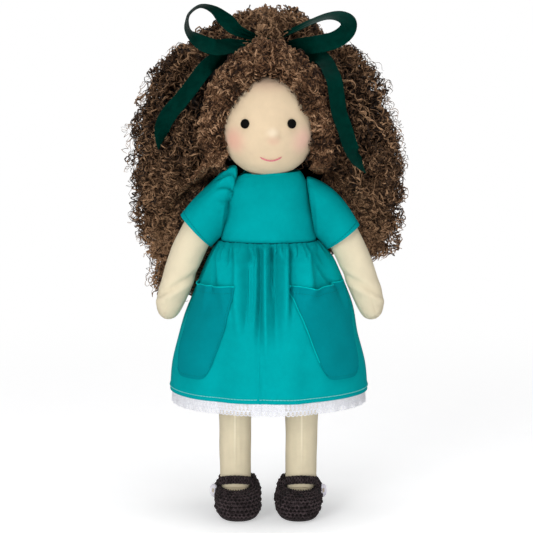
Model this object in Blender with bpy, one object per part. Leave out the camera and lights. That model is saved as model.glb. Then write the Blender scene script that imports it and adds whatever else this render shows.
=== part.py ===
"""Rag doll with a stuffed jersey body, a curly wig, a satin bow, a gathered dress and crocheted shoes.

The doll stands on the floor plane, with its origin on the floor midway between its shoes.
It faces -Y and its left hand is at +X. All sizes are in metres and all angles in degrees.
"""

import math

import bmesh
import bpy
from mathutils import Matrix, Vector

# Materials' thickness and the room that neighbours leave each other
GAP = 0.0003
JERSEY_WALL = 0.0008
COTTON_WALL = 0.0007
LACE_WALL = 0.0005
CAP_WALL = 0.0009
HAIR_ROOM = 0.0006
OVERRUN = 0.0050

# Torso, a stuffed bag that is widest at the waist and closes in to the neck
HIP_Z = 0.0995
WAIST_Z = 0.1690
NECK_Z = 0.2080
TORSO_HALF_WIDTH = 0.0274
TORSO_HALF_DEPTH = 0.0163
NECK_RADIUS = 0.0090

# Head, wider than it is deep, and fuller below its middle than above
HEAD_Z = 0.2340
HEAD_HALF_WIDTH = 0.0280
HEAD_HALF_DEPTH = 0.0275
HEAD_CHIN_DROP = 0.0255
HEAD_CROWN_RISE = 0.0330
NECK_STALK = 0.0120
TIE_THREAD_RADIUS = 0.0005

# Face
EYE_RADIUS = 0.0026
EYE_HEIGHT = 0.0015
EYE_X = 0.0134
EYE_Z = 0.2394
NOSE_RADIUS = 0.0034
NOSE_HEIGHT = 0.0016
NOSE_Z = 0.2338
MOUTH_HALF_WIDTH = 0.0060
MOUTH_Z = 0.2190
MOUTH_RISE = 0.0018
MOUTH_THREAD_RADIUS = 0.0005

# Arms, from the shoulder's axis to the tip of the hand
SHOULDER_X = 0.0285
SHOULDER_Z = 0.1965
HAND_X = {"left": 0.0648, "right": 0.0626}
HAND_Z = 0.1210
ARM_RADIUS = 0.0098

# Legs, from the hip's axis to the toe
HIP_X = 0.0204
ANKLE_X = 0.0197
LEG_Y = 0.0045
LEG_RADIUS = 0.0102
ANKLE_RADIUS = 0.0091
ANKLE_Z = 0.0240
FOOT_REACH = 0.0215
FOOT_HALF_WIDTH = 0.0093
FOOT_HALF_HEIGHT = 0.0058

# Shoes
SHOE_X = 0.0182
SHOE_Y = -0.0012
SHOE_HALF_WIDTH = 0.0138
SHOE_HALF_LENGTH = 0.0236
SOLE_HEIGHT = 0.0032
TOE_CAP_HEIGHT = 0.0135
COLLAR_WALL = 0.0022
COLLAR_Z = 0.0218
STRAP_WALL = 0.0018
STRAP_Z = 0.0196
STRAP_HEIGHT = 0.0046
SHOE_BUTTON_RADIUS = 0.0041
SHOE_BUTTON_HEIGHT = 0.0022
SHOE_BUTTON_Z = 0.0155

# Dress
ARMHOLE_Z = 0.1895
ARMHOLE_HALF_HEIGHT = 0.0175
ARMHOLE_HALF_DEPTH = 0.0112
HEM_Z = 0.0785
HEM_HALF_WIDTH = 0.0588
HEM_HALF_DEPTH = 0.0458
FOLD_DEPTH = 0.0018
POCKET_WALL = 0.0008
LACE_DROP = 0.0075
LACE_LAP = 0.0040
BACK_BUTTON_RADIUS = 0.0026
BACK_BUTTON_HEIGHT = 0.0013

# Sleeves, each from the armhole to a cuff whose top and bottom corners are (across, height)
SLEEVE_TOP = (0.0215, 0.2075)
SLEEVE_FOOT = (0.0285, 0.1722)
SLEEVE_HALF_DEPTH = 0.0122
CUFF_TOP = {"left": (0.0540, 0.1777), "right": (0.0525, 0.1840)}
CUFF_FOOT = {"left": (0.0350, 0.1638), "right": (0.0343, 0.1652)}
CUFF_HALF_DEPTH = 0.0132
SLEEVE_PUFF = {"left": 0.0078, "right": 0.0052}

# Hair
HAIR_TOP_Z = 0.3030
HAIR_BOTTOM_Z = 0.1360
HAIR_HALF_WIDTH = 0.0812
HAIR_BACK_Y = 0.0350
HAIR_PARTING_X = 0.0250
HAIRLINE_Y = -0.0070
NAPE_Z = 0.2160
ROLL_HALF_WIDTH = 0.0332
ROLL_RISE = 0.0430
ROLL_RADIUS = 0.0100
ROLL_Y = -0.0070

# Bow
RIBBON_WIDTH = 0.0102
RIBBON_WALL = 0.0005
KNOT_Y = 0.0105
KNOT_DROP = 0.0180
KNOT_RADIUS = 0.0055
KNOT_Z = HAIR_TOP_Z - KNOT_DROP
BOW_REACH = 0.0500

# Single shares
DOME_SHARE = 0.60
WAIST_CLEAR_SHARE = 0.04
PUFF_PLACE_SHARE = 0.70
PUFF_DEPTH_SHARE = 0.20
COLLAR_FOOT_SHARE = 0.30
OPENING_FRONT_SHARE = 0.42
FOOT_TOP_SHARE = 0.42
ROLL_DEPTH_SHARE = 0.85
PINCH_SHARE = 0.30
TIP_SHARE = 0.12

# Shapes in shares of the sizes that they follow
TORSO_SHARES = (  # height from seat to neck, half-width, half-depth
    (0.00, 0.80, 0.68),
    (0.04, 0.94, 0.88),
    (0.16, 0.99, 0.98),
    (0.38, 1.00, 1.00),
    (0.60, 1.00, 1.00),
    (0.75, 0.92, 0.98),
    (0.86, 0.84, 0.94),
    (0.93, 0.77, 0.85),
    (0.965, 0.68, 0.76),
    (0.99, 0.50, 0.67),
)
ARM_SHARES = (  # across from shoulder to hand, drop from shoulder to hand, radius
    (0.03, 0.02, 0.48),
    (0.08, 0.05, 0.80),
    (0.22, 0.14, 0.95),
    (0.38, 0.28, 1.00),
    (0.55, 0.43, 1.00),
    (0.69, 0.58, 0.97),
    (0.79, 0.72, 0.92),
    (0.89, 0.86, 0.84),
    (0.96, 0.955, 0.58),
)
LEG_SHARES = (  # height from ankle to hip axis, radius from ankle's to leg's
    (0.00, 0.00),
    (0.20, 0.20),
    (0.42, 0.60),
    (0.66, 1.00),
    (0.88, 1.00),
    (1.00, 1.00),
)
HIP_BALL_ANGLES = (32, 58, 80)
FOOT_SHARES = (  # reach, height in ankle heights, half-width and half-height in the foot's own
    (0.94, 0.37, 0.62, 0.66),
    (0.68, 0.39, 1.00, 0.94),
    (0.34, 0.42, 1.00, 1.10),
    (0.06, 0.58, 0.96, 1.50),
)
FLARE_SHARES = (  # drop from waist to hem, growth from waist size to hem size
    (0.000, 0.00),
    (0.040, 0.09),
    (0.100, 0.18),
    (0.230, 0.35),
    (0.340, 0.48),
    (0.540, 0.71),
    (0.800, 0.94),
    (1.000, 1.00),
)
FOLD_SHARES = ((0.0, 0.25), (0.1, 0.9), (0.5, 1.0), (1.0, 0.7))  # drop, fold depth
POCKET_DROP_SHARES = (0.245, 0.865)  # top and bottom edge, on the way from waist to hem
DRESS_ROOM_SHARES = (0.42, 0.23, 0.10, 0.00)  # drops from waist to hem, under the hair
BACK_BUTTON_SHARES = (("back_button_upper", 0.72), ("back_button_lower", 0.22))
SHOE_SHARES = (  # height from sole to toe cap top, half-width, half-length
    (0.00, 0.97, 0.97),
    (0.25, 1.00, 1.00),
    (0.55, 0.97, 0.97),
    (0.80, 0.87, 0.89),
    (1.00, 0.70, 0.74),
)
SOLE_SHARES = ((0.00, 0.97), (0.25, 1.00), (0.75, 0.99), (1.00, 0.95))  # height, outline
MANE_SHARES = (  # height from tips to top, half-width, front and back as shares of the back's reach
    (1.00, 0.24, 0.46, 0.74),
    (0.97, 0.48, 0.44, 0.84),
    (0.89, 0.71, 0.43, 0.93),
    (0.79, 0.85, 0.30, 0.99),
    (0.68, 0.94, -0.19, 1.00),
    (0.55, 0.99, -0.21, 1.00),
    (0.50, 1.00, -0.12, 1.00),
    (0.46, 1.00, 0.44, 1.00),
    (0.38, 1.00, 0.44, 1.00),
    (0.26, 0.98, 0.44, 1.00),
    (0.16, 0.94, 0.45, 1.02),
    (0.07, 0.88, 0.52, 1.05),
    (0.00, 0.78, 0.69, 1.07),
)
DISC_SHARES = (  # height up a button's side, height up its dome, radius
    (0.00, 0.00, 0.92),
    (0.30, 0.00, 1.00),
    (1.00, 0.00, 1.00),
    (1.00, 0.60, 0.72),
    (1.00, 1.00, 0.30),
)
ROLL_SHARES = (  # place along the roll from one cheek to the crown, thickness
    (0.00, 0.35),
    (0.18, 0.62),
    (0.45, 0.72),
    (0.75, 0.86),
    (1.00, 1.05),
)
# Bow paths from the knot in bow reaches (across, back, up), with the ribbon's turn towards the front
RIGHT_LOOP_SHARES = (
    (-0.10, 0.00, 0.065, 60),
    (-0.36, -0.14, 0.16, 82),
    (-0.51, -0.22, 0.30, 55),
    (-0.64, -0.26, 0.41, 26),
    (-0.80, -0.28, 0.45, 10),
    (-0.93, -0.29, 0.36, 6),
    (-0.96, -0.30, 0.24, 10),
    (-0.92, -0.34, 0.12, 26),
    (-0.78, -0.36, 0.01, 58),
    (-0.62, -0.36, -0.04, 64),
    (-0.46, -0.20, -0.03, 60),
    (-0.27, -0.02, -0.02, 56),
    (-0.10, 0.00, 0.00, 56),
)
LEFT_LOOP_SHARES = (
    (0.10, 0.00, 0.065, 50),
    (0.28, -0.06, 0.14, 26),
    (0.48, -0.20, 0.24, 20),
    (0.68, -0.26, 0.33, 22),
    (0.84, -0.30, 0.34, 40),
    (0.96, -0.34, 0.27, 62),
    (0.97, -0.38, 0.18, 76),
    (0.88, -0.40, 0.08, 84),
    (0.73, -0.40, 0.02, 86),
    (0.56, -0.38, 0.00, 84),
    (0.42, -0.22, 0.00, 74),
    (0.27, -0.03, 0.00, 64),
    (0.10, 0.00, 0.00, 56),
)
RIGHT_TAIL_SHARES = (
    (-0.10, 0.00, -0.065, 56),
    (-0.40, -0.03, -0.17, 58),
    (-0.62, -0.26, -0.19, 62),
    (-0.76, -0.42, -0.30, 62),
    (-0.91, -0.44, -0.50, 60),
    (-1.04, -0.42, -0.66, 62),
    (-1.16, -0.40, -0.80, 70),
    (-1.24, -0.38, -0.94, 60),
    (-1.26, -0.36, -1.08, 48),
    (-1.25, -0.34, -1.21, 30),
)
LEFT_TAIL_SHARES = (
    (0.10, 0.00, -0.065, 56),
    (0.38, -0.01, -0.16, 58),
    (0.62, -0.20, -0.17, 62),
    (0.75, -0.44, -0.38, 64),
    (0.79, -0.47, -0.58, 66),
    (0.82, -0.46, -0.78, 64),
    (0.89, -0.44, -0.98, 62),
    (0.95, -0.42, -1.16, 60),
    (1.03, -0.40, -1.33, 50),
    (1.17, -0.38, -1.47, 30),
)

# Counts and angles
RING_COUNT = 14
SMALL_RING_COUNT = 12
HEAD_RING_COUNT = 20
HEAD_BAND_COUNT = 10
TIE_COLUMNS = 16
THREAD_SIDES = 6
MOUTH_STEPS = 8
ARM_STEPS = 13
LEG_STEPS = 15
SLEEVE_BANDS = 5
SKIRT_COLUMNS = 52
SKIRT_ROWS = 8
FOLD_COUNT = 13
POCKET_COLUMNS = 9
POCKET_ROWS = 7
SHOE_RING_COUNT = 24
COLLAR_STEPS = 13
STRAP_STEPS = 15
MANE_RING_COUNT = 24
ROLL_STEPS = 22
RIBBON_STEPS = 22
PINCH_STEPS = 4
STRAP_HALF_TURN = 92
ROLL_START = -34
KNOT_ANGLES = (-55, -30, 0, 30, 55)
SHARP_ANGLE = 50
POCKET_CORNER_ANGLES = ((-70, -24), (-58, -32))  # top edge, bottom edge, from the skirt's front

# How square an outline is, where 2 is an ellipse
SHOE_POWER = 2.4
FOOTPRINT_POWER = 2.6
MANE_POWER = 2.2
KNOT_POWER = 2.6

SIDES = {"left": 1, "right": -1}
SIDE_AXIS = Vector((1, 0, 0))
DEPTH_AXIS = Vector((0, 1, 0))
UP_AXIS = Vector((0, 0, 1))


def clear_scene():
    for obj in list(bpy.data.objects):
        bpy.data.objects.remove(obj, do_unlink=True)


def make_material(name, colour, roughness, metallic=0.0):
    material = bpy.data.materials.new(name)
    material.use_nodes = True
    shader = material.node_tree.nodes["Principled BSDF"]
    shader.inputs["Base Color"].default_value = (*colour, 1.0)
    shader.inputs["Roughness"].default_value = roughness
    shader.inputs["Metallic"].default_value = metallic
    material.diffuse_color = (*colour, 1.0)
    return material


def make_pivot(name, place):
    """An empty on a joint's axis, which carries the pieces that turn about it."""
    pivot = bpy.data.objects.new(name, None)
    pivot.location = place
    bpy.context.scene.collection.objects.link(pivot)
    return pivot


def add_piece(name, mesh_data, material, pivot=None):
    """An object from world points, whose own origin is then set on its pivot."""
    mesh = bpy.data.meshes.new(name)
    mesh_data.to_mesh(mesh)
    mesh_data.free()
    mesh.materials.append(material)
    mesh.shade_smooth()
    mesh.set_sharp_from_angle(angle=math.radians(SHARP_ANGLE))
    piece = bpy.data.objects.new(name, mesh)
    bpy.context.scene.collection.objects.link(piece)
    if pivot is not None:
        mesh.transform(Matrix.Translation(-pivot.location))
        piece.parent = pivot
    return piece


def add_cutter(name, mesh_data):
    cutter = bpy.data.objects.new(name, bpy.data.meshes.new(name))
    mesh_data.to_mesh(cutter.data)
    mesh_data.free()
    bpy.context.scene.collection.objects.link(cutter)
    cutter.display_type = "WIRE"
    cutter.hide_render = True
    return cutter


def combine(piece, other, operation):
    modifier = piece.modifiers.new(operation.lower() + " " + other.name, "BOOLEAN")
    modifier.operation = operation
    modifier.solver = "EXACT"
    modifier.object = other


def thicken(piece, wall):
    """Gives a sheet its wall on the inner side."""
    modifier = piece.modifiers.new("wall", "SOLIDIFY")
    modifier.thickness = wall
    modifier.offset = -1
    modifier.use_even_offset = True


def between(table, share):
    """The table's values at a share between its rows."""
    rows = sorted(table)
    for low, high in zip(rows, rows[1:]):
        if share <= high[0]:
            part = max(0.0, (share - low[0]) / (high[0] - low[0]))
            return [a + (b - a) * part for a, b in zip(low[1:], high[1:])]
    return list(rows[-1][1:])


def smooth_path(points, steps):
    """Points evenly spread in their parameter along a Catmull-Rom curve through the given rows."""
    rows = [points[0], *points, points[-1]]
    found = []
    for step in range(steps + 1):
        place = step / steps * (len(points) - 1)
        index = min(int(place), len(points) - 2)
        t = place - index
        around = zip(*rows[index : index + 4])
        found.append(
            [
                b + 0.5 * t * (c - a + t * (2 * a - 5 * b + 4 * c - d + t * (3 * (b - c) + d - a)))
                for a, b, c, d in around
            ]
        )
    return found


def ring(centre, first, second, count=RING_COUNT, power=2.0):
    """Points round an ellipse, or a fuller curve where power is over 2, with the given half-axes."""
    found = []
    for index in range(count):
        angle = 2 * math.pi * index / count
        across, along = math.cos(angle), math.sin(angle)
        swell = (abs(across) ** power + abs(along) ** power) ** (-1 / power)
        found.append(Vector(centre) + (first * across + second * along) * swell)
    return found


def loft(rings, start=None, end=None, close_start=False, close_end=False):
    """Skin over rings of equal count. An end is open, a point given in start or end, or a flat face."""
    body = bmesh.new()
    loops = [[body.verts.new(point) for point in points] for points in rings]
    count = len(loops[0])
    for low, high in zip(loops, loops[1:]):
        for index in range(count):
            after = (index + 1) % count
            body.faces.new((low[index], low[after], high[after], high[index]))
    for loop, tip, flat in ((loops[0], start, close_start), (loops[-1], end, close_end)):
        if flat:
            body.faces.new(loop)
        if tip is not None:
            top = body.verts.new(tip)
            for index in range(count):
                body.faces.new((loop[index], loop[(index + 1) % count], top))
    bmesh.ops.recalc_face_normals(body, faces=body.faces)
    return body


def swell(body, distance):
    """Moves a surface outwards by a distance, or inwards where it is negative."""
    body.normal_update()
    moves = [vert.normal * distance * vert.calc_shell_factor() for vert in body.verts]
    for vert, move in zip(body.verts, moves):
        vert.co += move
    return body


def fill_openings(body):
    bmesh.ops.holes_fill(body, edges=[edge for edge in body.edges if edge.is_boundary])
    bmesh.ops.recalc_face_normals(body, faces=body.faces)
    return body


def add_stuffed(name, make_surface, skin_material, wool_material, pivot=None):
    """A jersey skin that is open where it was stuffed, and the wool inside it."""
    skin = add_piece(name + "_skin", make_surface(), skin_material, pivot)
    thicken(skin, JERSEY_WALL)
    wool = fill_openings(swell(make_surface(), -(JERSEY_WALL + GAP)))
    return skin, add_piece(name + "_stuffing", wool, wool_material, pivot)


def layered(point, inner, outer, columns, rows, closed):
    """A thin solid between two offsets of the surface point(across, down, outset), shares from 0 to 1."""
    body = bmesh.new()
    spans = columns if closed else columns - 1
    layers = [
        [
            [
                body.verts.new(point(column / spans, row / (rows - 1), outset))
                for column in range(columns)
            ]
            for row in range(rows)
        ]
        for outset in (inner, outer)
    ]
    for grid in layers:
        for high, low in zip(grid, grid[1:]):
            for column in range(spans):
                after = (column + 1) % columns
                body.faces.new((high[column], high[after], low[after], low[column]))
    below, above = layers
    rims = [[(row, column) for column in range(columns)] for row in (0, rows - 1)]
    if not closed:
        rims += [[(row, column) for row in range(rows)] for column in (0, columns - 1)]
    for rim in rims:
        pairs = list(zip(rim, rim[1:] + rim[:1]))
        if not closed:
            pairs.pop()
        for (row, column), (next_row, next_column) in pairs:
            body.faces.new(
                (
                    below[row][column],
                    below[next_row][next_column],
                    above[next_row][next_column],
                    above[row][column],
                )
            )
    bmesh.ops.recalc_face_normals(body, faces=body.faces)
    return body


def box(low, high):
    body = bmesh.new()
    bmesh.ops.create_cube(body, size=1)
    for vert in body.verts:
        vert.co = Vector(
            [start + (share + 0.5) * (stop - start) for share, start, stop in zip(vert.co, low, high)]
        )
    return body


def disc(centre, axis, radius, height, crown=0.0):
    """A round button whose back is at centre, with a domed face where crown is more than zero."""
    turn = axis.to_track_quat("Z", "Y").to_matrix()
    first, second = turn @ SIDE_AXIS, turn @ DEPTH_AXIS
    rings = []
    for side, dome, wide in DISC_SHARES:
        rise = (height - crown) * side + crown * dome
        half = radius * wide
        rings.append(ring(centre + axis * rise, first * half, second * half, SMALL_RING_COUNT))
    return loft(rings, close_start=True, close_end=True)


def torso_height(share):
    seat = HIP_Z + LEG_RADIUS + GAP
    return seat + (NECK_Z - seat) * share


def torso_share(height):
    return (height - torso_height(0)) / (torso_height(1) - torso_height(0))


def torso_rings(lowest=0.0):
    found = []
    for height, width, depth in TORSO_SHARES:
        if height >= lowest:
            place = (0, 0, torso_height(height))
            found.append(
                ring(
                    place,
                    SIDE_AXIS * TORSO_HALF_WIDTH * width,
                    DEPTH_AXIS * TORSO_HALF_DEPTH * depth,
                    HEAD_RING_COUNT,
                )
            )
    return found


def neck_ring(height, radius):
    return ring((0, 0, height), SIDE_AXIS * radius, DEPTH_AXIS * radius, HEAD_RING_COUNT)


def torso_surface():
    opening = neck_ring(NECK_Z, NECK_RADIUS + JERSEY_WALL + 2 * GAP)
    return loft([*torso_rings(), opening], close_start=True)


def add_torso(jersey, wool):
    _, stuffing = add_stuffed("torso", torso_surface, jersey, wool)
    low, high = NECK_Z - NECK_STALK - GAP, NECK_Z + OVERRUN
    hollow = [neck_ring(height, NECK_RADIUS + 2 * GAP) for height in (low, high)]
    cutter = add_cutter("neck_room", loft(hollow, close_start=True, close_end=True))
    combine(stuffing, cutter, "DIFFERENCE")


def head_rings(grow=0.0):
    """Rings from just under the crown down to the underside of the chin, where the neck starts."""
    under_chin = -math.acos(NECK_RADIUS / HEAD_HALF_DEPTH)
    found = []
    for band in range(1, HEAD_BAND_COUNT):
        angle = math.pi / 2 + (under_chin - math.pi / 2) * band / HEAD_BAND_COUNT
        rise = (HEAD_CROWN_RISE if angle > 0 else HEAD_CHIN_DROP) + grow
        found.append(
            ring(
                (0, 0, HEAD_Z + rise * math.sin(angle)),
                SIDE_AXIS * (HEAD_HALF_WIDTH + grow) * math.cos(angle),
                DEPTH_AXIS * (HEAD_HALF_DEPTH + grow) * math.cos(angle),
                HEAD_RING_COUNT,
            )
        )
    return found


def head_crown(grow=0.0):
    return Vector((0, 0, HEAD_Z + HEAD_CROWN_RISE + grow))


def head_surface():
    stalk_top = HEAD_Z - HEAD_CHIN_DROP * math.sqrt(1 - (NECK_RADIUS / HEAD_HALF_DEPTH) ** 2)
    stalk = [neck_ring(stalk_top, NECK_RADIUS), neck_ring(NECK_Z - NECK_STALK, NECK_RADIUS)]
    return loft([*head_rings(), *stalk], start=head_crown())


def head_room(grow):
    """The whole head with a margin, for cutting what lies against it."""
    return loft(head_rings(grow), start=head_crown(grow), end=(0, 0, HEAD_Z - HEAD_CHIN_DROP - grow))


def face_point(across, height, grow=0.0):
    """A point on the face and the way that the face looks there."""
    rise = (HEAD_CROWN_RISE if height > HEAD_Z else HEAD_CHIN_DROP) + grow
    width, depth = HEAD_HALF_WIDTH + grow, HEAD_HALF_DEPTH + grow
    up = height - HEAD_Z
    y = -depth * math.sqrt(1 - (across / width) ** 2 - (up / rise) ** 2)
    facing = Vector((across / width**2, y / depth**2, up / rise**2)).normalized()
    return Vector((across, y, height)), facing


def add_head(pivot, jersey, wool, bead, thread):
    skin, _ = add_stuffed("head", head_surface, jersey, wool, pivot)
    tip, facing = face_point(0, NOSE_Z)
    back = tip - facing * JERSEY_WALL / 2
    bump = disc(back, facing, NOSE_RADIUS, NOSE_HEIGHT + JERSEY_WALL / 2, NOSE_HEIGHT / 2)
    combine(skin, add_cutter("nose_skin", bump), "UNION")
    room_radius = NOSE_RADIUS - JERSEY_WALL / 2
    room_height = NOSE_HEIGHT - JERSEY_WALL
    room_depth = JERSEY_WALL + GAP + room_height
    room_back = tip - facing * (JERSEY_WALL + GAP)
    room = disc(room_back, facing, room_radius, room_depth, room_height / 2)
    combine(skin, add_cutter("nose_room", room), "DIFFERENCE")
    pad_back = tip - facing * (JERSEY_WALL - GAP / 2)
    pad = disc(pad_back, facing, room_radius - GAP, room_depth - 2.5 * GAP, room_height / 2)
    add_piece("nose_pad", pad, wool, pivot)
    for side, sign in SIDES.items():
        place, facing = face_point(sign * EYE_X, EYE_Z)
        eye = disc(place + facing * GAP, facing, EYE_RADIUS, EYE_HEIGHT, EYE_HEIGHT * DOME_SHARE)
        add_piece("eye_" + side, eye, bead, pivot)
    add_mouth(pivot, thread)
    tie_radius = NECK_RADIUS + TIE_THREAD_RADIUS + GAP
    tie = torus(NECK_Z + TIE_THREAD_RADIUS + GAP, tie_radius, TIE_THREAD_RADIUS)
    add_piece("neck_tie", tie, thread, pivot)


def torus(height, radius, thickness):
    """A level closed ring of thread."""
    body = bmesh.new()
    loops = []
    for column in range(TIE_COLUMNS):
        turn = 2 * math.pi * column / TIE_COLUMNS
        outwards = Vector((math.cos(turn), math.sin(turn), 0))
        centre = outwards * radius + UP_AXIS * height
        points = ring(centre, outwards * thickness, UP_AXIS * thickness, THREAD_SIDES)
        loops.append([body.verts.new(point) for point in points])
    for low, high in zip(loops, loops[1:] + loops[:1]):
        for index in range(THREAD_SIDES):
            after = (index + 1) % THREAD_SIDES
            body.faces.new((low[index], low[after], high[after], high[index]))
    bmesh.ops.recalc_face_normals(body, faces=body.faces)
    return body


def add_mouth(pivot, thread):
    """One embroidered smile, lying on the skin."""
    rings = []
    for step in range(MOUTH_STEPS + 1):
        share = 2 * step / MOUTH_STEPS - 1
        across = MOUTH_HALF_WIDTH * share
        height = MOUTH_Z + MOUTH_RISE * share**2
        place, facing = face_point(across, height, MOUTH_THREAD_RADIUS + GAP)
        thick = MOUTH_THREAD_RADIUS
        rings.append(ring(place, facing * thick, UP_AXIS * thick, THREAD_SIDES))
    add_piece("mouth_thread", loft(rings, close_start=True, close_end=True), thread, pivot)


def tube_along(rows, axis, steps):
    """Rings square to a smooth path of (point, half across the path's plane, half within it)."""
    path = smooth_path([(*point, wide, high) for point, wide, high in rows], steps)
    places = [Vector(row[:3]) for row in path]
    found = []
    for index, row in enumerate(path):
        ahead = places[min(index + 1, steps)] - places[max(index - 1, 0)]
        other = ahead.normalized().cross(axis)
        found.append(ring(places[index], axis * row[3], other * row[4]))
    return found


def arm_surface(sign, hand_x):
    def build():
        rows = []
        for across, drop, radius in ARM_SHARES:
            x = sign * (SHOULDER_X + (hand_x - SHOULDER_X) * across)
            z = SHOULDER_Z - (SHOULDER_Z - HAND_Z) * drop
            rows.append(((x, 0, z), ARM_RADIUS * radius, ARM_RADIUS * radius))
        return loft(tube_along(rows, DEPTH_AXIS, ARM_STEPS), end=(sign * hand_x, 0, HAND_Z))

    return build


def leg_rows(sign):
    rows = []
    for reach, height, width, thick in FOOT_SHARES:
        place = (sign * ANKLE_X, LEG_Y - FOOT_REACH * reach, ANKLE_Z * height)
        rows.append((place, FOOT_HALF_WIDTH * width, FOOT_HALF_HEIGHT * thick))
    for height, radius in LEG_SHARES:
        x = sign * (ANKLE_X + (HIP_X - ANKLE_X) * height)
        thick = ANKLE_RADIUS + (LEG_RADIUS - ANKLE_RADIUS) * radius
        rows.append(((x, LEG_Y, ANKLE_Z + (HIP_Z - ANKLE_Z) * height), thick, thick))
    for angle in HIP_BALL_ANGLES:
        turn = math.radians(angle)
        place = (sign * HIP_X, LEG_Y, HIP_Z + LEG_RADIUS * math.sin(turn))
        rows.append((place, LEG_RADIUS * math.cos(turn), LEG_RADIUS * math.cos(turn)))
    return rows


def leg_surface(sign):
    def build():
        toe = (sign * ANKLE_X, LEG_Y - FOOT_REACH, ANKLE_Z * FOOT_SHARES[0][1])
        return loft(tube_along(leg_rows(sign), SIDE_AXIS, LEG_STEPS), start=toe)

    return build


def bodice_surface():
    rings = torso_rings(torso_share(WAIST_Z) + WAIST_CLEAR_SHARE)
    waist = ring(
        (0, 0, WAIST_Z + GAP),
        SIDE_AXIS * TORSO_HALF_WIDTH,
        DEPTH_AXIS * TORSO_HALF_DEPTH,
        HEAD_RING_COUNT,
    )
    return swell(loft([waist, *rings]), GAP + COTTON_WALL)


def add_bodice(cotton, shell):
    """A front and two backs, open round the arms and down the back."""
    reach = TORSO_HALF_WIDTH + OVERRUN
    armhole = add_cutter(
        "armhole",
        loft(
            [
                ring((x, 0, ARMHOLE_Z), DEPTH_AXIS * ARMHOLE_HALF_DEPTH, UP_AXIS * ARMHOLE_HALF_HEIGHT)
                for x in (-reach, reach)
            ],
            close_start=True,
            close_end=True,
        ),
    )
    low, high = WAIST_Z - OVERRUN, NECK_Z + OVERRUN
    boxes = {
        "bodice_front": ((-reach, -reach, low), (reach, -GAP / 2, high)),
        "bodice_back_left": ((GAP / 2, GAP / 2, low), (reach, reach, high)),
        "bodice_back_right": ((-reach, GAP / 2, low), (-GAP / 2, reach, high)),
    }
    for name, (start, stop) in boxes.items():
        panel = add_piece(name, bodice_surface(), cotton)
        thicken(panel, COTTON_WALL)
        combine(panel, add_cutter(name + "_room", box(start, stop)), "INTERSECT")
        combine(panel, armhole, "DIFFERENCE")
    thick = BACK_BUTTON_HEIGHT
    for name, share in BACK_BUTTON_SHARES:
        height = WAIST_Z + (NECK_Z - WAIST_Z) * share
        depth = TORSO_HALF_DEPTH * between(TORSO_SHARES, torso_share(height - BACK_BUTTON_RADIUS))[1]
        place = Vector((0, depth + 2 * GAP + COTTON_WALL, height))
        button = disc(place, DEPTH_AXIS, BACK_BUTTON_RADIUS, thick, thick / 3)
        add_piece(name, button, shell)


def skirt_size(drop):
    grow = between(FLARE_SHARES, drop)[0]
    ease = 2 * GAP + COTTON_WALL + FOLD_DEPTH * FOLD_SHARES[0][1]
    wide, deep = TORSO_HALF_WIDTH + ease, TORSO_HALF_DEPTH + ease
    return wide + (HEM_HALF_WIDTH - wide) * grow, deep + (HEM_HALF_DEPTH - deep) * grow


def skirt_point(angle, drop, outset):
    """A point on the skirt at an angle from its front, a share of the way from waist to hem."""
    wide, deep = skirt_size(drop)
    fold = FOLD_DEPTH * between(FOLD_SHARES, drop)[0] * math.cos(FOLD_COUNT * angle)
    swollen = 1 + (fold + outset) / math.hypot(wide * math.sin(angle), deep * math.cos(angle))
    return Vector(
        (
            wide * math.sin(angle) * swollen,
            -deep * math.cos(angle) * swollen,
            WAIST_Z - GAP / 2 - (WAIST_Z - HEM_Z) * drop,
        )
    )


def add_skirt(cotton, lace):
    length = WAIST_Z - HEM_Z
    lace_start, lace_end = 1 - LACE_LAP / length, 1 + LACE_DROP / length

    def skirt(across, down, outset):
        return skirt_point(2 * math.pi * across, down, outset)

    def trim(across, down, outset):
        drop = lace_start + (lace_end - lace_start) * down
        return skirt_point(2 * math.pi * across, drop, outset)

    cloth = layered(skirt, -COTTON_WALL, 0, SKIRT_COLUMNS, SKIRT_ROWS, True)
    add_piece("skirt", cloth, cotton)
    inner = -COTTON_WALL - GAP - LACE_WALL
    edging = layered(trim, inner, inner + LACE_WALL, SKIRT_COLUMNS, 2, True)
    add_piece("lace_trim", edging, lace)
    for side, sign in SIDES.items():
        add_piece("pocket_" + side, pocket(sign), cotton)


def pocket(sign):
    (top_outer, top_inner), (foot_outer, foot_inner) = POCKET_CORNER_ANGLES
    top, foot = POCKET_DROP_SHARES

    def patch(across, down, outset):
        outer = top_outer + (foot_outer - top_outer) * down
        inner = top_inner + (foot_inner - top_inner) * down
        angle = -sign * math.radians(outer + (inner - outer) * across)
        return skirt_point(angle, top + (foot - top) * down, outset)

    inner = 1.5 * GAP
    return layered(patch, inner, inner + POCKET_WALL, POCKET_COLUMNS, POCKET_ROWS, False)


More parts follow.
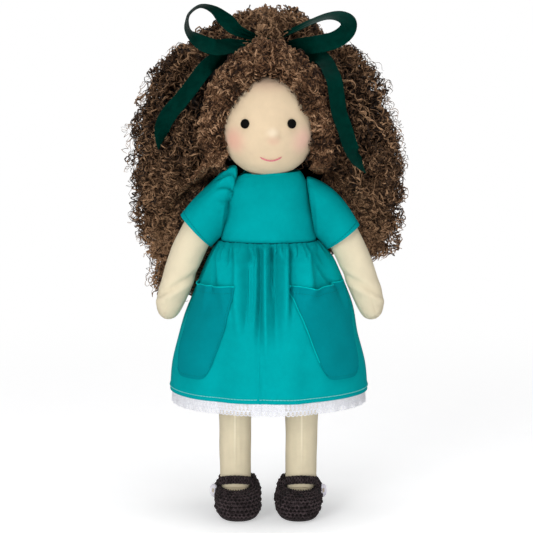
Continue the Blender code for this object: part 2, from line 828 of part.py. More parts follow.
def add_sleeve(side, sign, pivot, cotton):
    (top_x, top_z), (foot_x, foot_z) = SLEEVE_TOP, SLEEVE_FOOT
    (cuff_top_x, cuff_top_z), (cuff_foot_x, cuff_foot_z) = CUFF_TOP[side], CUFF_FOOT[side]
    armhole_top, cuff_top = Vector((top_x, 0, top_z)), Vector((cuff_top_x, 0, cuff_top_z))
    armhole_foot, cuff_foot = Vector((foot_x, 0, foot_z)), Vector((cuff_foot_x, 0, cuff_foot_z))
    rings = []
    for band in range(SLEEVE_BANDS + 1):
        share = band / SLEEVE_BANDS
        puff = SLEEVE_PUFF[side] * math.sin(math.pi * share**PUFF_PLACE_SHARE)
        top = armhole_top.lerp(cuff_top, share)
        foot = armhole_foot.lerp(cuff_foot, share)
        top += (top - foot).normalized() * puff
        depth = SLEEVE_HALF_DEPTH + (CUFF_HALF_DEPTH - SLEEVE_HALF_DEPTH) * share
        depth += puff * PUFF_DEPTH_SHARE
        centre = (top + foot) / 2
        half = (top - foot) / 2
        rings.append(
            ring(
                (sign * centre.x, 0, centre.z),
                Vector((sign * half.x, 0, half.z)),
                DEPTH_AXIS * depth,
            )
        )
    sleeve = add_piece("sleeve_" + side, loft(rings), cotton, pivot)
    thicken(sleeve, COTTON_WALL)


def shoe_rings(table, low, high):
    found = []
    for row in table:
        height, width, length = row[0], row[1], row[-1]
        found.append(
            [
                Vector((x, y, low + (high - low) * height))
                for x, y, _ in ring(
                    (0, SHOE_Y, 0),
                    SIDE_AXIS * SHOE_HALF_WIDTH * width,
                    DEPTH_AXIS * SHOE_HALF_LENGTH * length,
                    SHOE_RING_COUNT,
                    SHOE_POWER,
                )
            ]
        )
    return found


def shift(body, across):
    bmesh.ops.translate(body, vec=(across, 0, 0), verts=body.verts)
    return body


def prism(outline, low, high):
    rings = [[Vector((x, y, z)) for x, y, _ in outline] for z in (low, high)]
    return loft(rings, close_start=True, close_end=True)


def arc(centre, radius, start, stop, count):
    """Points on a level arc, with angles counted from the front."""
    found = []
    for index in range(count):
        angle = math.radians(start + (stop - start) * index / (count - 1))
        found.append(Vector(centre) + Vector((math.sin(angle), -math.cos(angle), 0)) * radius)
    return found


def add_shoe(side, sign, pivot, crochet, shell):
    upper_z = SOLE_HEIGHT + GAP
    ankle = Vector((sign * ANKLE_X, LEG_Y, 0))
    sole = loft(shoe_rings(SOLE_SHARES, 0, SOLE_HEIGHT), close_start=True, close_end=True)
    add_piece("shoe_sole_" + side, shift(sole, sign * SHOE_X), crochet, pivot)

    cap_rings = shoe_rings(SHOE_SHARES, upper_z, upper_z + TOE_CAP_HEIGHT)
    cap = loft(cap_rings, close_start=True, close_end=True)
    upper = add_piece("shoe_upper_" + side, shift(cap, sign * SHOE_X), crochet, pivot)
    opening_radius = ANKLE_RADIUS + 2 * GAP
    collar_radius = opening_radius + COLLAR_WALL
    collar = arc(ankle, collar_radius, 90, 270, COLLAR_STEPS)
    collar_low = upper_z + TOE_CAP_HEIGHT * COLLAR_FOOT_SHARE
    combine(upper, add_cutter("collar_" + side, prism(collar, collar_low, COLLAR_Z)), "UNION")
    opening_front = SHOE_Y - SHOE_HALF_LENGTH * OPENING_FRONT_SHARE
    opening_back = LEG_Y + opening_radius
    opening = ring(
        (ankle.x, (opening_front + opening_back) / 2, 0),
        SIDE_AXIS * opening_radius,
        DEPTH_AXIS * (opening_back - opening_front) / 2,
    )
    foot_height = ANKLE_Z * FOOT_TOP_SHARE
    mouth = prism(opening, foot_height, COLLAR_Z + OVERRUN)
    combine(upper, add_cutter("shoe_opening_" + side, mouth), "DIFFERENCE")
    footprint = ring(
        (ankle.x, LEG_Y - FOOT_REACH / 2 + ANKLE_RADIUS / 2, 0),
        SIDE_AXIS * (FOOT_HALF_WIDTH + 2 * GAP),
        DEPTH_AXIS * ((FOOT_REACH + ANKLE_RADIUS) / 2 + 2 * GAP),
        RING_COUNT,
        FOOTPRINT_POWER,
    )
    foot_room = prism(footprint, 0, foot_height + GAP)
    combine(upper, add_cutter("footprint_" + side, foot_room), "DIFFERENCE")
    foot = fill_openings(swell(leg_surface(sign)(), 1.5 * GAP))
    combine(upper, add_cutter("foot_room_" + side, foot), "DIFFERENCE")

    strap_radius = opening_radius + GAP
    turn = STRAP_HALF_TURN
    outer = arc(ankle, strap_radius + STRAP_WALL, -turn, turn, STRAP_STEPS)
    inner = arc(ankle, strap_radius, turn, -turn, STRAP_STEPS)
    strap_end = collar_radius * math.cos(math.radians(STRAP_HALF_TURN)) - GAP
    strap_points = [Vector((point.x, min(point.y, LEG_Y + strap_end), 0)) for point in outer + inner]
    strap = prism(strap_points, STRAP_Z, STRAP_Z + STRAP_HEIGHT)
    add_piece("shoe_strap_" + side, strap, crochet, pivot)

    place = Vector((sign * (ANKLE_X + collar_radius + GAP), LEG_Y, SHOE_BUTTON_Z))
    thick = SHOE_BUTTON_HEIGHT
    button = disc(place, SIDE_AXIS * sign, SHOE_BUTTON_RADIUS, thick, thick / 3)
    add_piece("shoe_button_" + side, button, shell, pivot)


def roll_solid(grow=0.0):
    """The curls that frame the face, thin at the cheeks and full over the forehead."""
    rings = []
    for step in range(ROLL_STEPS + 1):
        share = step / ROLL_STEPS
        angle = math.radians(ROLL_START + (180 - 2 * ROLL_START) * share)
        thick = ROLL_RADIUS * between(ROLL_SHARES, 1 - abs(2 * share - 1))[0] + grow
        outwards = Vector((math.cos(angle), 0, math.sin(angle)))
        centre = Vector((ROLL_HALF_WIDTH * outwards.x, ROLL_Y, HEAD_Z + ROLL_RISE * outwards.z))
        rings.append(ring(centre, outwards * thick, DEPTH_AXIS * (thick * ROLL_DEPTH_SHARE)))
    return loft(rings, close_start=True, close_end=True)


def mane_solid():
    """All the loose hair as one mass, before it parts over the shoulders."""
    rings = []
    for height, width, front, back in reversed(MANE_SHARES):
        middle = HAIR_BACK_Y * (front + back) / 2
        half = HAIR_BACK_Y * (back - front) / 2
        rings.append(
            ring(
                (0, middle, HAIR_BOTTOM_Z + (HAIR_TOP_Z - HAIR_BOTTOM_Z) * height),
                SIDE_AXIS * HAIR_HALF_WIDTH * width,
                DEPTH_AXIS * half,
                MANE_RING_COUNT,
                MANE_POWER,
            )
        )
    return loft(rings, close_start=True, close_end=True)


def dress_room():
    """The back of the dress with a margin, for cutting the hair that hangs against it."""
    margin = FOLD_DEPTH + BACK_BUTTON_HEIGHT + HAIR_ROOM
    rings = []
    for drop in DRESS_ROOM_SHARES:
        wide, deep = skirt_size(drop)
        place = (0, 0, WAIST_Z - (WAIST_Z - HEM_Z) * drop)
        rings.append(ring(place, SIDE_AXIS * (wide + margin), DEPTH_AXIS * (deep + margin)))
    wide, deep = skirt_size(0)
    place = (0, 0, NECK_Z + OVERRUN / 2)
    rings.append(ring(place, SIDE_AXIS * (wide + margin), DEPTH_AXIS * (deep + margin)))
    return loft(rings, close_start=True, close_end=True)


def add_hair(pivot, mohair, cap_yarn):
    cap_inner, cap_outer = GAP, GAP + CAP_WALL
    cap = add_piece("hair_cap", head_room(cap_outer), cap_yarn, pivot)
    combine(cap, add_cutter("cap_inside", head_room(cap_inner)), "DIFFERENCE")
    reach = HAIR_HALF_WIDTH + OVERRUN
    cap_room = box((-reach, HAIRLINE_Y, NAPE_Z), (reach, reach, HAIR_TOP_Z + OVERRUN))
    combine(cap, add_cutter("cap_room", cap_room), "INTERSECT")

    head = add_cutter("head_room", head_room(cap_outer + GAP))
    roll = add_piece("hair_crown", roll_solid(), mohair, pivot)
    combine(roll, head, "DIFFERENCE")

    low, high = HAIR_BOTTOM_Z - OVERRUN, HAIR_TOP_Z + OVERRUN
    cutters = [
        head,
        add_cutter("roll_room", roll_solid(HAIR_ROOM)),
        add_cutter("dress_room", dress_room()),
        add_cutter("knot_room", knot_solid(GAP)),
    ]
    boxes = {
        "hair_left": ((HAIR_PARTING_X + GAP, -reach, low), (reach, reach, high)),
        "hair_back": ((-HAIR_PARTING_X, -reach, low), (HAIR_PARTING_X, reach, high)),
        "hair_right": ((-reach, -reach, low), (-HAIR_PARTING_X - GAP, reach, high)),
    }
    for name, (start, stop) in boxes.items():
        mass = add_piece(name, mane_solid(), mohair, pivot)
        for cutter in cutters:
            combine(mass, cutter, "DIFFERENCE")
        combine(mass, add_cutter(name + "_room", box(start, stop)), "INTERSECT")


def knot_solid(grow=0.0):
    radius = KNOT_RADIUS + grow
    rings = []
    for angle in KNOT_ANGLES:
        turn = math.radians(angle)
        place = (radius * math.sin(turn), KNOT_Y, KNOT_Z)
        half = radius * math.cos(turn)
        rings.append(ring(place, DEPTH_AXIS * half, UP_AXIS * half, SMALL_RING_COUNT, KNOT_POWER))
    return loft(rings, close_start=True, close_end=True)


def ribbon_solid(shares, pointed):
    """A flat band along a path, turned about it, that ends in a slanted tip where it is pointed."""
    path = smooth_path(shares, RIBBON_STEPS)
    places = [Vector((0, KNOT_Y, KNOT_Z)) + Vector(row[:3]) * BOW_REACH for row in path]
    rings = []
    for index, row in enumerate(path):
        ahead = places[min(index + 1, RIBBON_STEPS)] - places[max(index - 1, 0)]
        ahead.normalize()
        level = (DEPTH_AXIS - ahead * ahead.dot(DEPTH_AXIS)).normalized()
        turn = Matrix.Rotation(math.radians(row[3]), 3, ahead)
        half = turn @ level * RIBBON_WIDTH / 2
        wall = ahead.cross(half).normalized() * RIBBON_WALL / 2
        root = index if pointed else min(index, RIBBON_STEPS - index)
        half *= min(1.0, PINCH_SHARE + (1 - PINCH_SHARE) * root / PINCH_STEPS)
        if pointed and index == RIBBON_STEPS:
            half *= TIP_SHARE
        rings.append(
            [
                places[index] + half * side + wall * layer
                for side, layer in ((-1, -1), (1, -1), (1, 1), (-1, 1))
            ]
        )
    return loft(rings, close_start=True, close_end=True)


def add_bow(pivot, satin):
    add_piece("ribbon_knot", knot_solid(), satin, pivot)
    for name, shares, pointed in (
        ("ribbon_loop_left", LEFT_LOOP_SHARES, False),
        ("ribbon_loop_right", RIGHT_LOOP_SHARES, False),
        ("ribbon_tail_left", LEFT_TAIL_SHARES, True),
        ("ribbon_tail_right", RIGHT_TAIL_SHARES, True),
    ):
        add_piece(name, ribbon_solid(shares, pointed), satin, pivot)


def build_doll():
    clear_scene()
    jersey = make_material("cream_jersey", (0.85, 0.70, 0.50), 0.85)
    wool = make_material("stuffing_wool", (0.88, 0.85, 0.78), 0.95)
    cotton = make_material("teal_cotton", (0.00, 0.36, 0.36), 0.6)
    lace = make_material("white_lace", (0.80, 0.80, 0.86), 0.8)
    mohair = make_material("brown_mohair", (0.09, 0.05, 0.03), 0.8)
    cap_yarn = make_material("cap_yarn", (0.06, 0.035, 0.02), 0.9)
    satin = make_material("green_satin", (0.00, 0.05, 0.035), 0.35)
    crochet = make_material("brown_crochet", (0.03, 0.022, 0.024), 0.9)
    shell = make_material("button_shell", (0.80, 0.78, 0.84), 0.3)
    bead = make_material("black_bead", (0.005, 0.005, 0.005), 0.2)
    thread = make_material("pink_thread", (0.70, 0.22, 0.24), 0.7)

    add_torso(jersey, wool)
    add_bodice(cotton, shell)
    add_skirt(cotton, lace)

    neck = make_pivot("neck_pivot", (0, 0, NECK_Z))
    add_head(neck, jersey, wool, bead, thread)
    add_hair(neck, mohair, cap_yarn)
    add_bow(neck, satin)

    for side, sign in SIDES.items():
        shoulder = make_pivot("shoulder_pivot_" + side, (sign * SHOULDER_X, 0, SHOULDER_Z))
        add_stuffed("arm_" + side, arm_surface(sign, HAND_X[side]), jersey, wool, shoulder)
        add_sleeve(side, sign, shoulder, cotton)
        hip = make_pivot("hip_pivot_" + side, (sign * HIP_X, LEG_Y, HIP_Z))
        add_stuffed("leg_" + side, leg_surface(sign), jersey, wool, hip)
        add_shoe(side, sign, hip, crochet, shell)


build_doll()
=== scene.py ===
import math

import bpy
import numpy as np
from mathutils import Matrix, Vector


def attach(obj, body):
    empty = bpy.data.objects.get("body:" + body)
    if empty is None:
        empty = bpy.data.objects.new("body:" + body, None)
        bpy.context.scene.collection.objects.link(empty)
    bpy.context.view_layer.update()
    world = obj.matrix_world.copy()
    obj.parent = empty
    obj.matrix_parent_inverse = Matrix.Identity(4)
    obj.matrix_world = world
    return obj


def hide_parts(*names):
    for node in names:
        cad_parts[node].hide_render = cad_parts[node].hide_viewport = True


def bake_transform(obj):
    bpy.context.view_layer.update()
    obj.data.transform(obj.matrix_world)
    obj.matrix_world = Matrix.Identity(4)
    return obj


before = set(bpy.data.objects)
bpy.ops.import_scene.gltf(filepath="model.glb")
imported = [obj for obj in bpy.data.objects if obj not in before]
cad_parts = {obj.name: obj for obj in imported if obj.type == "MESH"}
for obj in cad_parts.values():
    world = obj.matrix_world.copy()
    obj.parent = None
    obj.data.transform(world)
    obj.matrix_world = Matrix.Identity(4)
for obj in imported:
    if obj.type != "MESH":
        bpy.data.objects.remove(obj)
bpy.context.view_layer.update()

SIDES = {"left": 1, "right": -1}
TURN = 2 * math.pi
MM = 0.001

# Head, body and dress sizes that the solids have too, in metres
HEAD_Z, HEAD_WIDE, HEAD_DEEP = 0.2340, 0.0280, 0.0275
CHIN_DROP, CROWN_RISE, NECK_RADIUS, NECK_Z = 0.0270, 0.0330, 0.0090, 0.2080
WAIST_Z, HEM_Z = 0.1690, 0.0785
WAIST_WIDE, WAIST_DEEP, HEM_WIDE, HEM_DEEP = 0.02915, 0.01805, 0.0598, 0.0458
HIP_X, HIP_Z, LEG_Y = 0.0204, 0.0995, 0.0045
SHOULDER_X, SHOULDER_Z = 0.0285, 0.1965


# ---------------------------------------------------------------- shapes

def smooth(points, count):
    """Points spread evenly in their parameter along a Catmull-Rom curve through the rows given."""
    rows = np.asarray(points, float)
    rows = np.vstack([rows[:1], rows, rows[-1:]])
    place = np.linspace(0, len(points) - 1, count)
    index = np.minimum(place.astype(int), len(points) - 2)
    t = (place - index)[:, None]
    a, b, c, d = (rows[index + step] for step in range(4))
    return b + 0.5 * t * (c - a + t * (2 * a - 5 * b + 4 * c - d + t * (3 * (b - c) + d - a)))


def lookup(table, share):
    """The table's smoothed values at shares of its first column."""
    dense = smooth(sorted(table), 300)
    return [np.interp(share, dense[:, 0], dense[:, k]) for k in range(1, dense.shape[1])]


def unit(vectors):
    return vectors / np.maximum(np.linalg.norm(vectors, axis=-1, keepdims=True), 1e-12)


def ease(value, low, high):
    share = np.clip((value - low) / (high - low), 0, 1)
    return share * share * (3 - 2 * share)


def wobble(points, size, seed, waves=7):
    """Smooth seeded noise from -1 to 1 over points, with features about as wide as size."""
    rng = np.random.default_rng(seed)
    total = 0
    for _ in range(waves):
        way = unit(rng.normal(size=3)) * TURN / (size * rng.uniform(1.2, 2.6))
        total = total + np.sin(points @ way + rng.uniform(0, TURN))
    return total / math.sqrt(waves * 2)


def build(name, verts, faces, uvs=None, tint=None):
    """A mesh object from vertices, arrays of quads and triangles, and a UV for each face corner."""
    mesh = bpy.data.meshes.new(name)
    verts = np.asarray(verts, np.float32).reshape(-1, 3)
    corners = np.concatenate([group.ravel() for group in faces]).astype(np.int32)
    totals = np.concatenate([np.full(len(group), group.shape[1]) for group in faces])
    starts = np.concatenate([[0], np.cumsum(totals)[:-1]])
    mesh.vertices.add(len(verts))
    mesh.vertices.foreach_set("co", verts.ravel())
    mesh.loops.add(len(corners))
    mesh.loops.foreach_set("vertex_index", corners)
    mesh.polygons.add(len(totals))
    mesh.polygons.foreach_set("loop_start", starts.astype(np.int32))
    mesh.polygons.foreach_set("use_smooth", np.ones(len(totals), bool))
    mesh.update(calc_edges=True)
    if uvs is not None:
        flat = np.concatenate([group.reshape(-1, 2) for group in uvs]).astype(np.float32)
        mesh.uv_layers.new(name="cloth").uv.foreach_set("vector", flat.ravel())
    if tint is not None:
        mesh.attributes.new("tint", "FLOAT", "POINT").data.foreach_set(
            "value", np.asarray(tint, np.float32).ravel()
        )
    obj = bpy.data.objects.new(name, mesh)
    bpy.context.scene.collection.objects.link(obj)
    return obj


def grid_faces(rows, columns, wrap=True, first=0):
    """Quads over a grid of vertices, with the grid places of their corners."""
    spans = columns if wrap else columns - 1
    row, column = np.mgrid[0 : rows - 1, 0:spans]
    row, column = row.ravel(), column.ravel()
    places = [(row, column), (row + 1, column), (row + 1, column + 1), (row, column + 1)]
    quads = np.stack([r * columns + c % columns for r, c in places], 1) + first
    return quads, places


def grid_uvs(places, across, along):
    return np.stack([np.stack([across[r, c], along[r, c]], 1) for r, c in places], 1)


def tube_surface(name, points, wales, courses, start=None, end=None):
    """A closed surface of rings, (rows, columns, 3), that may end in a point, with UVs in stitches."""
    rows, columns = points.shape[:2]
    quads, places = grid_faces(rows, columns)
    u, v = np.meshgrid(np.linspace(0, wales, columns + 1), np.linspace(0, courses, rows))
    verts, faces, uvs = [points.reshape(-1, 3)], [quads], [grid_uvs(places, u, v)]
    count = rows * columns
    for tip, row, flip in ((start, 0, False), (end, rows - 1, True)):
        if tip is None:
            continue
        ring = np.arange(columns) + row * columns
        after = np.roll(ring, -1)
        fan = np.stack([ring, after, np.full(columns, count)], 1)
        place = np.full(columns, v[row, 0])
        low, high = u[0, :-1], u[0, 1:]
        uv = np.stack([np.stack([low, place], 1), np.stack([high, place], 1),
                       np.stack([(low + high) / 2, place], 1)], 1)
        faces.append(fan[:, ::-1] if flip else fan)
        uvs.append(uv[:, ::-1] if flip else uv)
        verts.append(np.asarray(tip, float).reshape(1, 3))
        count += 1
    return build(name, np.vstack(verts), faces, uvs)


def surface_normals(points, wrap):
    if wrap:
        across = np.roll(points, -1, 1) - np.roll(points, 1, 1)
    else:
        across = np.gradient(points, axis=1)
    return unit(np.cross(across, np.gradient(points, axis=0)))


def shell(name, points, wall, wrap, wales, courses, outward=None):
    """A cloth of two faces over a grid (rows, columns, 3), closed along its edges."""
    rows, columns = points.shape[:2]
    normals = surface_normals(points, wrap)
    if outward is not None and np.sum(normals * outward(points)) < 0:
        points = points[:, ::-1]
        normals = -normals[:, ::-1]
    layers = [points, points - normals * wall]
    u, v = np.meshgrid(np.linspace(0, wales, columns + wrap), np.linspace(0, courses, rows))
    verts = np.vstack([layer.reshape(-1, 3) for layer in layers])
    front, places = grid_faces(rows, columns, wrap)
    back = front[:, ::-1] + rows * columns
    uv = grid_uvs(places, u, v)
    faces, uvs = [front[:, ::-1], back[:, ::-1]], [uv[:, ::-1], uv]
    rims = [(np.arange(columns), np.zeros(columns, int)), (np.arange(columns), np.full(columns, rows - 1))]
    if not wrap:
        rims += [(np.zeros(rows, int), np.arange(rows)), (np.full(rows, columns - 1), np.arange(rows))]
    for index, (column, row) in enumerate(rims):
        ring = row * columns + column
        after = np.roll(ring, -1)
        if not wrap or index > 1:
            ring, after = ring[:-1], after[:-1]
        edge = np.stack([ring, after, after + rows * columns, ring + rows * columns], 1)
        if index in (0, 3):
            edge = edge[:, ::-1]
        faces.append(edge[:, ::-1])
        uvs.append(np.zeros((len(edge), 4, 2)))
    obj = build(name, verts, faces, uvs)
    obj.data.set_sharp_from_angle(angle=math.radians(60))
    return obj


def frames_along(paths):
    """Two unit vectors square to each path of (count, steps, 3), carried along it without twist."""
    ahead = unit(np.gradient(paths, axis=1))
    helper = np.where(np.abs(ahead[:, 0, 2:3]) > 0.8, [[1.0, 0, 0]], [[0, 0, 1.0]])
    side = np.empty_like(paths)
    side[:, 0] = unit(np.cross(ahead[:, 0], helper))
    for step in range(1, paths.shape[1]):
        last, along = side[:, step - 1], ahead[:, step]
        side[:, step] = unit(last - along * np.sum(last * along, -1, keepdims=True))
    return side, np.cross(ahead, side)


def tubes(name, paths, radius, sides=4, tint=None, flat=1.0):
    """Closed tubes round paths (count, steps, 3), with a radius that may change along each."""
    paths = np.asarray(paths, float)
    count, steps = paths.shape[:2]
    radius = np.broadcast_to(radius, (count, steps))
    side, other = frames_along(paths)
    angle = np.arange(sides) * TURN / sides
    ring = side[:, :, None] * np.cos(angle)[:, None] + other[:, :, None] * np.sin(angle)[:, None] * flat
    verts = paths[:, :, None] + ring * radius[:, :, None, None]
    quads, _ = grid_faces(steps, sides)
    offsets = (np.arange(count) * steps * sides)[:, None, None]
    quads = (quads[None] + offsets).reshape(-1, 4)
    low = np.arange(sides)[None] + offsets[:, 0]
    caps = np.vstack([low, low[:, ::-1] + (steps - 1) * sides])
    if tint is not None:
        tint = np.repeat(np.asarray(tint, float), steps * sides)
    return build(name, verts, [quads[:, ::-1], caps[:, ::-1]], None, tint)


# ---------------------------------------------------------------- materials

class Graph:
    """Builds one material's nodes. An input is a value or the socket that drives it."""

    def __init__(self, name, **settings):
        self.material = bpy.data.materials.new(name)
        self.material.use_nodes = True
        self.tree = self.material.node_tree
        self.shader = self.tree.nodes["Principled BSDF"]
        for socket, value in settings.items():
            self.feed(self.shader.inputs[socket.replace("_", " ")], value)

    def feed(self, socket, value):
        if isinstance(value, bpy.types.NodeSocket):
            self.tree.links.new(value, socket)
        elif isinstance(value, tuple) and len(value) == 3 and socket.type == "RGBA":
            socket.default_value = (*value, 1)
        else:
            socket.default_value = value

    def add(self, kind, inputs=(), **settings):
        node = self.tree.nodes.new("ShaderNode" + kind)
        for key, value in settings.items():
            setattr(node, key, value)
        for key, value in dict(inputs).items():
            self.feed(node.inputs[key], value)
        return node

    def math(self, operation, first, second=0.0, third=0.0):
        node = self.add("Math", {0: first, 1: second, 2: third}, operation=operation)
        return node.outputs[0]

    def place(self):
        return self.add("TexCoord").outputs["Object"]

    def noise(self, scale, detail=3.0, roughness=0.55, place=None, distortion=0.0):
        inputs = {"Vector": place or self.place(), "Scale": scale, "Detail": detail,
                  "Roughness": roughness, "Distortion": distortion}
        return self.add("TexNoise", inputs).outputs["Fac"]

    def ramp(self, factor, *stops):
        node = self.add("ValToRGB", {"Fac": factor})
        elements = node.color_ramp.elements
        while len(elements) < len(stops):
            elements.new(0.5)
        for element, (place, colour) in zip(elements, stops):
            element.position = place
            element.color = (*colour, 1) if isinstance(colour, tuple) else (colour,) * 3 + (1,)
        return node.outputs["Color"]

    def mix(self, factor, first, second, blend="MIX"):
        node = self.add("Mix", data_type="RGBA", blend_type=blend)
        for index, value in ((0, factor), (6, first), (7, second)):
            self.feed(node.inputs[index], value)
        return node.outputs[2]

    def stitches(self):
        split = self.add("SeparateXYZ", {0: self.add("UVMap", uv_map="cloth").outputs[0]})
        return split.outputs[0], split.outputs[1]

    def near(self, centre, radii):
        """1 at a point of the object, falling to 0 at an ellipsoid round it."""
        scale = tuple(1 / radius for radius in radii)
        shift = tuple(-middle * share for middle, share in zip(centre, scale))
        moved = self.add("VectorMath", {0: self.place(), 1: scale, 2: shift}, operation="MULTIPLY_ADD")
        length = self.add("VectorMath", {0: moved.outputs[0]}, operation="LENGTH").outputs["Value"]
        ramp = self.add("MapRange", {"Value": length, "From Min": 0.0, "From Max": 1.0,
                                     "To Min": 1.0, "To Max": 0.0}, interpolation_type="SMOOTHERSTEP")
        return ramp.outputs[0]

    def bump(self, *layers):
        """Adds heights, each (socket, metres), to the shader's normal."""
        normal = None
        for height, distance in layers:
            node = self.add("Bump", {"Height": height, "Distance": distance})
            if normal is not None:
                self.feed(node.inputs["Normal"], normal)
            normal = node.outputs["Normal"]
        self.feed(self.shader.inputs["Normal"], normal)
        return self.material

    def colour(self, value):
        self.feed(self.shader.inputs["Base Color"], value)


def knit_height(graph):
    """Rows of small V stitches, in UVs of wales and courses."""
    u, v = graph.stitches()
    across = graph.math("ABSOLUTE", graph.math("SUBTRACT", graph.math("FRACT", u), 0.5))
    slant = graph.math("ADD", v, graph.math("MULTIPLY", across, 0.9))
    loop = graph.math("SINE", graph.math("MULTIPLY", slant, TURN))
    leg = graph.math("SINE", graph.math("MULTIPLY", across, TURN))
    return graph.math("MULTIPLY_ADD", loop, 0.35, leg)


def jersey_material(name, tone, blush_and_painted_light=()):
    graph = Graph(name, Roughness=0.88, Specular_IOR_Level=0.08, Sheen_Weight=0.06, Sheen_Roughness=0.5)
    knit = knit_height(graph)
    mottle = graph.noise(140.0, 3.0)
    pale, deep = tuple(min(1.0, c * 1.03) for c in tone), tuple(c * 0.95 for c in tone)
    colour = graph.ramp(mottle, (0.25, deep), (0.75, pale))
    # Spots of tint that paint blush, and painted light and shade where the caller gives them.
    for centre, radii, tint, strength in blush_and_painted_light:
        amount = graph.math("MULTIPLY", graph.near(centre, radii), strength)
        colour = graph.mix(amount, colour, tint)
    # The colour is darker where the knit is low: painted shade in the stitch hollows.
    shade = graph.add("MapRange", {"Value": knit, "From Min": -0.3, "From Max": 1.2,
                                   "To Min": 0.93, "To Max": 1.03}).outputs[0]
    graph.colour(graph.mix(1.0, colour, shade, "MULTIPLY"))
    return graph.bump((graph.noise(60.0, 2.0), 0.0006), (graph.noise(2600.0, 2.0), 0.00006), (knit, 0.00007))


def cotton_material(name, tone, spread=0.10):
    graph = Graph(name, Roughness=0.85, Specular_IOR_Level=0.02)
    u, v = graph.stitches()
    warp = graph.math("SINE", graph.math("MULTIPLY", u, TURN))
    weft = graph.math("SINE", graph.math("MULTIPLY", v, TURN))
    weave = graph.math("MULTIPLY", warp, weft)
    slub = graph.noise(420.0, 2.0)
    cloud = graph.noise(38.0, 3.0)
    tone = np.array(tone)
    ramp = graph.ramp(cloud, (0.25, tuple(tone * (1 - spread))), (0.75, tuple(tone * (1 + spread))))
    # The colour is darker where the weave is low: painted shade between the threads.
    shade = graph.add("MapRange", {"Value": weave, "From Min": -1.0, "From Max": 1.0,
                                   "To Min": 0.92, "To Max": 1.06}).outputs[0]
    colour = graph.mix(1.0, ramp, shade, "MULTIPLY")
    dull = graph.add("MapRange", {"Value": slub, "To Min": 0.93, "To Max": 1.05}).outputs[0]
    graph.colour(graph.mix(1.0, colour, dull, "MULTIPLY"))
    return graph.bump((cloud, 0.0012), (slub, 0.0001), (weave, 0.00004))


def thread_material(name, tone, roughness=0.75):
    graph = Graph(name, Roughness=roughness, Specular_IOR_Level=0.04)
    twist = graph.noise(1800.0, 2.0, distortion=0.6)
    tone = np.array(tone)
    graph.colour(graph.ramp(twist, (0.3, tuple(tone * 0.78)), (0.7, tuple(np.minimum(1, tone * 1.12)))))
    return graph.bump((twist, 0.00012))


def hair_material(name, dark, middle, light):
    """Mohair whose tone changes from strand to strand and along each."""
    graph = Graph(name, Roughness=0.55, Specular_IOR_Level=0.14)
    strand = graph.add("Attribute", attribute_name="tint").outputs["Fac"]
    along = graph.noise(300.0, 3.0)
    fine = graph.noise(2400.0, 2.0)
    clumps = graph.math("MULTIPLY_ADD", along, 1.5, -0.5)
    value = graph.math("MULTIPLY_ADD", strand, 0.5, graph.math("MULTIPLY", clumps, 0.5))
    colour = graph.ramp(value, (0.18, dark), (0.42, middle), (0.66, light))
    shade = graph.add("MapRange", {"Value": fine, "From Min": 0.3, "From Max": 0.7,
                                   "To Min": 0.72, "To Max": 1.2}).outputs[0]
    graph.colour(graph.mix(1.0, colour, shade, "MULTIPLY"))
    return graph.bump((fine, 0.0002))


def satin_material(name, tone):
    graph = Graph(name, Roughness=0.38, IOR=1.10, Specular_Tint=(0.2, 0.9, 0.8))
    u, v = graph.stitches()
    rib = graph.math("SINE", graph.math("MULTIPLY", v, TURN))
    # The satin's streaks are partly its weave and partly painted sheen: light and dark bands in the colour.
    streak = graph.noise(220.0, 3.0)
    tone = np.array(tone)
    graph.colour(graph.ramp(streak, (0.3, tuple(tone * 0.75)), (0.75, tuple(tone * 1.3))))
    rough = graph.add("MapRange", {"Value": graph.noise(900.0), "To Min": 0.30, "To Max": 0.46})
    graph.feed(graph.shader.inputs["Roughness"], rough.outputs[0])
    return graph.bump((streak, 0.0002), (rib, 0.00003))


def tone_of(tone):
    return tuple(float(part) for part in tone)


def crochet_material(name, tone):
    graph = Graph(name, Roughness=0.9, Specular_IOR_Level=0.06, Sheen_Weight=0.05, Sheen_Roughness=0.5)
    ply = graph.noise(1500.0, 3.0, distortion=0.5)
    cloud = graph.noise(120.0)
    tone = np.array(tone)
    u, v = graph.stitches()
    shifted = graph.math("MULTIPLY_ADD", graph.math("FLOOR", v), 0.5, u)
    across = graph.math("ABSOLUTE", graph.math("SUBTRACT", graph.math("FRACT", shifted), 0.5))
    lean = graph.math("MULTIPLY_ADD", across, -1.1, -0.22)
    up = graph.math("MULTIPLY", graph.math("ADD", graph.math("FRACT", v), lean), 3.3)
    leg = graph.math("EXPONENT", graph.math("MULTIPLY", graph.math("MULTIPLY", up, up), -1.0))
    uneven = graph.math("MULTIPLY_ADD", graph.noise(330.0, 2.0), 1.3, -0.15)
    # Stitch legs much lighter and the gaps between them much darker, with random strength: painted light and shade on
    # the crochet stitches.
    shade = graph.math("MULTIPLY_ADD", ply, 0.4, graph.math("MULTIPLY", graph.math("MULTIPLY", leg, uneven), 1.1))
    colour = graph.ramp(shade, (0.20, tuple(tone * 0.25)), (0.50, tone_of(tone)), (0.85, tuple(tone * 3.4)))
    dull = graph.add("MapRange", {"Value": cloud, "To Min": 0.8, "To Max": 1.2}).outputs[0]
    graph.colour(graph.mix(1.0, colour, dull, "MULTIPLY"))
    return graph.bump((ply, 0.00025))


def pearl_material(name):
    graph = Graph(name, Roughness=0.28, Specular_IOR_Level=0.5, Coat_Weight=0.5, Coat_Roughness=0.12)
    swirl = graph.noise(160.0, 4.0, distortion=1.2)
    graph.colour(graph.ramp(swirl, (0.3, (0.66, 0.62, 0.76)), (0.55, (0.80, 0.77, 0.84)), (0.75, (0.90, 0.88, 0.90))))
    rough = graph.add("MapRange", {"Value": graph.noise(700.0), "To Min": 0.2, "To Max": 0.4})
    graph.feed(graph.shader.inputs["Roughness"], rough.outputs[0])
    return graph.bump((swirl, 0.0001))


